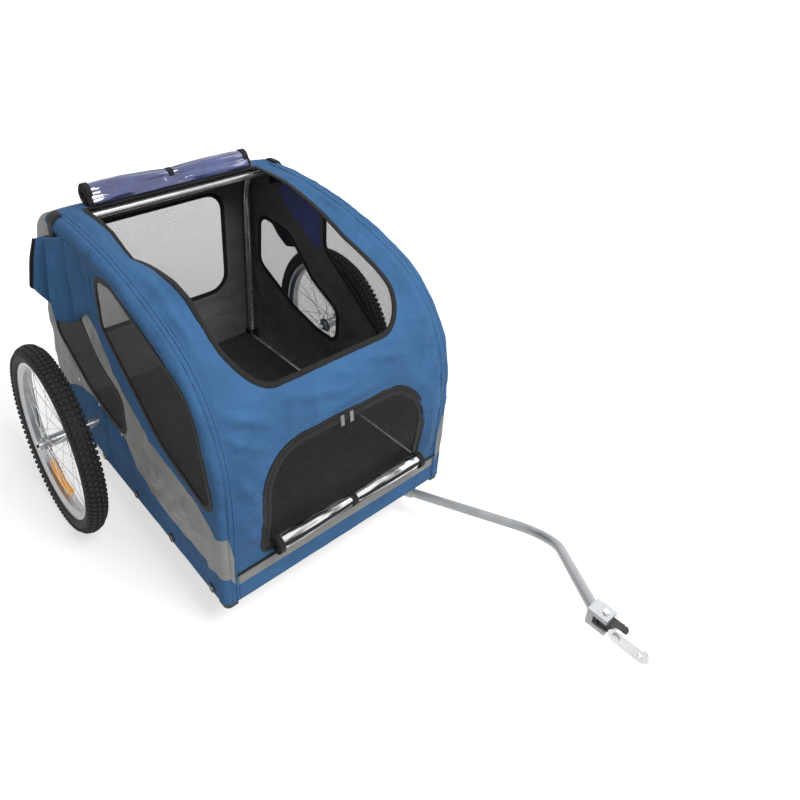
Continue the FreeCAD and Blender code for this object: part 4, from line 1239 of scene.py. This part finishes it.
def bands(name, node, body, axis_y, loops):
    """Webbing straps round a roll: each loop is (across, inner radius, height of its middle)."""
    rows, around = 5, 48
    columns = [-STRAP_WIDTH / 2 + STRAP_WIDTH * k / rows for k in range(rows + 1)]
    verts, faces = [], []
    for place, inner, axis_z in loops:
        start = len(verts)
        section = [(across, inner + STRAP_THICK) for across in columns]
        section += [(-across, inner) for across in columns]
        for i in range(around):
            angle = math.tau * i / around
            for across, r in section:
                verts.append((place + across, axis_y + r * math.cos(angle), axis_z + r * math.sin(angle)))
        faces += [tuple(start + v for v in f) for f in grid_faces(around, len(section), True, True)]
    piece = make_piece(name, verts, faces, [WEBBING], body)
    fix_normals(piece)
    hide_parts(node)


rolled("roof_roll_film", "roof_roll", TINTED, "root",
       radius=0.0310, length=OPENING_REAR - OPENING_FRONT + FILM_LAP, ahead=0.0, seed=2.0, waist=0.24,
       ends=(0.85, 0.74), sewn_to=(FRONT + OPENING_REAR, BOTTOM + HEIGHT + 0.001))
rolled("front_roll_film", "front_roll", CLEAR, "front_door",
       radius=0.0180, length=DOOR[2][1] - DOOR[0][1] + FILM_LAP, ahead=0.006, seed=5.0, waist=0.24)


# Pouches: pleats as (back, how far they stand out), hem and top as (back, height)
POUCH_GAP = 0.002
POUCH_CLOTH = 0.0012
POUCH_PLEATS = [(0.505, 0.001), (0.565, 0.026), (0.594, 0.010), (0.655, 0.048), (0.686, 0.026),
                (0.748, 0.062)]
POUCH_HEM = [(0.505, 0.500), (0.560, 0.468), (0.615, 0.424), (0.660, 0.410), (0.700, 0.430), (0.748, 0.475)]
POUCH_TOP = [(0.505, 0.640), (0.640, 0.640), (0.690, 0.620), (0.748, 0.604)]
PLEAT_LEAN = 0.030
POUCH_BAND = 0.009


def pouch(side):
    """Pleated pouch that hangs from the side's upper rear."""
    prefix = side_name(side)
    line = np.array(POUCH_PLEATS)
    backs = np.linspace(line[0, 0], line[-1, 0], 90)
    depth = np.interp(backs, line[:, 0], line[:, 1])
    for _ in range(2):
        depth[1:-1] = (depth[:-2] + 2 * depth[1:-1] + depth[2:]) / 4
    rows = 44
    verts, normals = [], []
    for i in range(rows + 1):
        up = i / rows
        for b in backs:
            bottom = float(np.interp(b, *zip(*POUCH_HEM)))
            h = bottom + (float(np.interp(b, *zip(*POUCH_TOP))) - bottom) * up
            share = (b - backs[0]) / (backs[-1] - backs[0])
            fullness = 1.0 - up * (0.90 - 0.65 * share) + 0.12 * math.sin(math.pi * up)
            edge = min(1.0, up / 0.06) ** 0.5
            lift = float(np.interp(b - PLEAT_LEAN * up, backs, depth)) * fullness * (0.70 + 0.30 * edge)
            lift += 0.0035 * noise.noise(Vector((b * 30, h * 14, side * 4.0)))
            verts.append((side * (HALF_WIDTH + POUCH_GAP + max(lift, 0.001)), FRONT + b, BOTTOM + h))
            normals.append((side, 0.0, 0.0))
    columns = len(backs)
    verts, normals = np.array(verts), np.array(normals, float)
    faces = facing(verts, grid_faces(rows + 1, columns), normals)
    wall_x = side * (HALF_WIDTH + POUCH_GAP)
    extra = []

    def close(indices):
        start = len(verts) + len(extra)
        for i in indices:
            extra.append((wall_x, verts[i][1], verts[i][2]))
        return [(a, b, start + k + 1, start + k) for k, (a, b) in enumerate(zip(indices[:-1], indices[1:]))]

    bottom_row = list(range(columns))
    top_row = [rows * columns + j for j in range(columns)]
    rear_column = [i * columns + columns - 1 for i in range(rows + 1)]
    cloth_faces = len(faces)
    for row in (bottom_row, top_row):
        faces += close(row)
    front_count = len(faces)
    faces += close(rear_column)
    index = [2 if backs[j] > backs[-1] - POUCH_BAND else 0 for _ in range(rows) for j in range(columns - 1)]
    index += [0] * (front_count - cloth_faces) + [1] * (len(faces) - front_count)
    points = np.vstack([verts, np.array(extra)])
    materials = [BLUE, LINING, BLACK_TAPE]
    piece = make_piece(prefix + "pouch_cloth", points, faces, materials, face_materials=index)
    fix_normals(piece)
    thicken(piece, POUCH_CLOTH)
    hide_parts(prefix + "pouch")
    hem_normals = np.tile([side, 0.3, 0.0], (len(rear_column), 1))
    tape(prefix + "pouch_hem", verts[rear_column], hem_normals, POUCH_HEM_TAPE, BLACK_TAPE, closed=False)


for side in (-1, 1):
    pouch(side)


# Tyres: each row of tread is (across, shift as a share of the pitch)
TYRE_HALF_HEIGHT = 0.024
BEAD_OPENING = math.radians(38)
TREAD_ROWS = [(-0.0205, -0.30), (-0.0112, 0.25), (0.0, 0.0), (0.0112, 0.25), (0.0205, -0.30)]
TREAD_COUNT = 100
KNOB_HEIGHT = 0.0050
KNOB_HALF = (0.0046, 0.0047)


def tyre(side):
    """Carcass with rows of knobs."""
    prefix = side_name(side)
    low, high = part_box(prefix + "tyre")
    centre = (low + high) / 2
    outer = (high.z - low.z) / 2
    half_width = (high.x - low.x) / 2 - 0.001
    half_height = TYRE_HALF_HEIGHT - KNOB_HEIGHT / 2
    middle = outer - KNOB_HEIGHT - half_height
    around, section = 180, 30
    verts = []
    for i in range(around):
        turn = math.tau * i / around
        for k in range(section):
            angle = -math.pi / 2 + BEAD_OPENING + (math.tau - 2 * BEAD_OPENING) * k / (section - 1)
            r = middle + half_height * math.sin(angle)
            x = half_width * math.cos(angle)
            verts.append((centre.x + x, centre.y + r * math.cos(turn), centre.z + r * math.sin(turn)))
    faces = grid_faces(around, section, wrap_rows=True)
    for row, (x, shift) in enumerate(TREAD_ROWS):
        slope = math.asin(max(-1, min(1, x / half_width)))
        base = middle + half_height * math.cos(slope)
        lean = 0.75 * slope
        for i in range(TREAD_COUNT):
            turn = math.tau * (i + shift + (0.5 if row % 2 else 0.0)) / TREAD_COUNT
            add_knob(verts, faces, centre, x, base, turn, lean)
    piece = make_piece(prefix + "tyre_tread", verts, faces, [RUBBER], prefix + "wheel")
    fix_normals(piece)
    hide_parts(prefix + "tyre")


def add_knob(verts, faces, centre, x, base, turn, lean):
    """One block of tread."""
    start = len(verts)
    radial = np.array([0.0, math.cos(turn), math.sin(turn)])
    along = np.array([0.0, -math.sin(turn), math.cos(turn)])
    across = np.array([1.0, 0.0, 0.0])
    up = radial * math.cos(lean) + across * math.sin(lean)
    sideways = across * math.cos(lean) - radial * math.sin(lean)
    middle = np.array(centre) + across * x + radial * base
    for rise, grow in ((-0.0015, 1.12), (KNOB_HEIGHT * 0.96, 0.86)):
        for a, b in ((-1, -1), (1, -1), (1, 1), (-1, 1)):
            corner = sideways * a * KNOB_HALF[0] + along * b * KNOB_HALF[1]
            verts.append(tuple(middle + up * rise + corner * grow))
    faces.append(tuple(start + k for k in (4, 5, 6, 7)))
    for k in range(4):
        faces.append((start + k, start + (k + 1) % 4, start + 4 + (k + 1) % 4, start + 4 + k))
    faces.append((start + 3, start + 2, start + 1, start))


for side in (-1, 1):
    tyre(side)


# Finishes of the pieces that stay as they are
FINISHES = {
    "silver_tube": SILVER_TUBE, "grey_steel": GREY_STEEL, "zinc_steel": ZINC, "snap_metal": BRIGHT,
    "black_plastic": BLACK_PLASTIC, "rim_alloy": ALLOY, "spoke_steel": BRIGHT, "amber_reflector": AMBER,
    "tube_rubber": RUBBER, "tyre_rubber": RUBBER, "floor_cloth": FLOOR_CLOTH, "black_webbing": WEBBING,
    "blue_cloth": BLUE, "dark_mesh": SIDE_MESH, "tinted_vinyl": TINTED, "clear_vinyl": CLEAR,
}
for subpart in frame["record"]["subparts"]:
    finish = DARK_ZINC if subpart["node"] == "zip_pulls" else FINISHES[subpart["material_slot"]]
    slots = nodes[subpart["node"]].data.materials
    slots.clear()
    slots.append(finish)


# Camera, light and floor
def add_camera():
    data = bpy.data.cameras.new("camera")
    data.lens = CAMERA_LENS
    data.sensor_width = SENSOR_WIDTH
    data.shift_x, data.shift_y = CAMERA_SHIFT
    data.clip_start, data.clip_end = 0.05, 60.0
    camera = bpy.data.objects.new("camera", data)
    bpy.context.scene.collection.objects.link(camera)
    level = math.cos(CAMERA_ELEVATION)
    back = Vector((math.sin(CAMERA_AZIMUTH) * level, -math.cos(CAMERA_AZIMUTH) * level,
                   math.sin(CAMERA_ELEVATION)))
    camera.location = CAMERA_PLACE
    camera.rotation_euler = (-back).to_track_quat("-Z", "Y").to_euler()
    bpy.context.scene.camera = camera


def add_lamp(name, place, target, size, power):
    data = bpy.data.lights.new(name, "AREA")
    data.shape = "DISK"
    data.size = size
    data.energy = power
    lamp = bpy.data.objects.new(name, data)
    lamp.location = place
    lamp.rotation_euler = (Vector(target) - Vector(place)).to_track_quat("-Z", "Y").to_euler()
    bpy.context.scene.collection.objects.link(lamp)


def seen_directly(tree):
    """1 for rays that show the background, from the camera, a gloss or a clear film."""
    path = tree.nodes.new("ShaderNodeLightPath")
    total = path.outputs["Is Camera Ray"]
    for name in ("Is Glossy Ray", "Is Transmission Ray"):
        add = tree.nodes.new("ShaderNodeMath")
        add.operation = "ADD"
        add.use_clamp = True
        tree.links.new(total, add.inputs[0])
        tree.links.new(path.outputs[name], add.inputs[1])
        total = add.outputs[0]
    return total


def add_world():
    world = bpy.data.worlds.new("studio")
    world.use_nodes = True
    bpy.context.scene.world = world
    tree = world.node_tree
    background = tree.nodes["Background"]
    background.inputs["Color"].default_value = (1.0, 1.0, 1.0, 1.0)
    amount = tree.nodes.new("ShaderNodeMapRange")
    amount.inputs["To Min"].default_value = WORLD_LIGHT
    amount.inputs["To Max"].default_value = 1.0
    tree.links.new(seen_directly(tree), amount.inputs["Value"])
    tree.links.new(amount.outputs[0], background.inputs["Strength"])


def floor_finish():
    """Pale floor that fades to white away from the object."""
    finish = Finish("pale_floor", (FLOOR_SHADE, FLOOR_SHADE, FLOOR_SHADE), 0.9, Specular_IOR_Level=0.0,
                    Emission_Color=(1.0, 1.0, 1.0, 1.0))
    reach = finish.add("ShaderNodeVectorMath", operation="LENGTH")
    finish.link(finish.place, reach, 0)
    paler = finish.add("ShaderNodeMapRange")
    for socket, value in zip(("From Min", "From Max", "To Min", "To Max"), (*FLOOR_FADE, FLOOR_GLOW, 1.0)):
        finish.set(paler, socket, value)
    finish.link(reach.outputs["Value"], paler, "Value")
    glow = finish.math("MULTIPLY", seen_directly(finish.tree), paler.outputs[0])
    finish.link(glow, finish.shader, "Emission Strength")
    return finish.material


def add_floor():
    mesh = bpy.data.meshes.new("floor")
    corners = [(a * FLOOR_HALF, b * FLOOR_HALF, 0.0) for a, b in ((-1, -1), (1, -1), (1, 1), (-1, 1))]
    mesh.from_pydata(corners, [], [(0, 1, 2, 3)])
    mesh.materials.append(floor_finish())
    floor = bpy.data.objects.new("floor", mesh)
    bpy.context.scene.collection.objects.link(floor)


add_camera()
add_world()
for name, lamp in LAMPS.items():
    add_lamp(name, *lamp)
add_floor()
bpy.context.scene.view_settings.view_transform = "Standard"
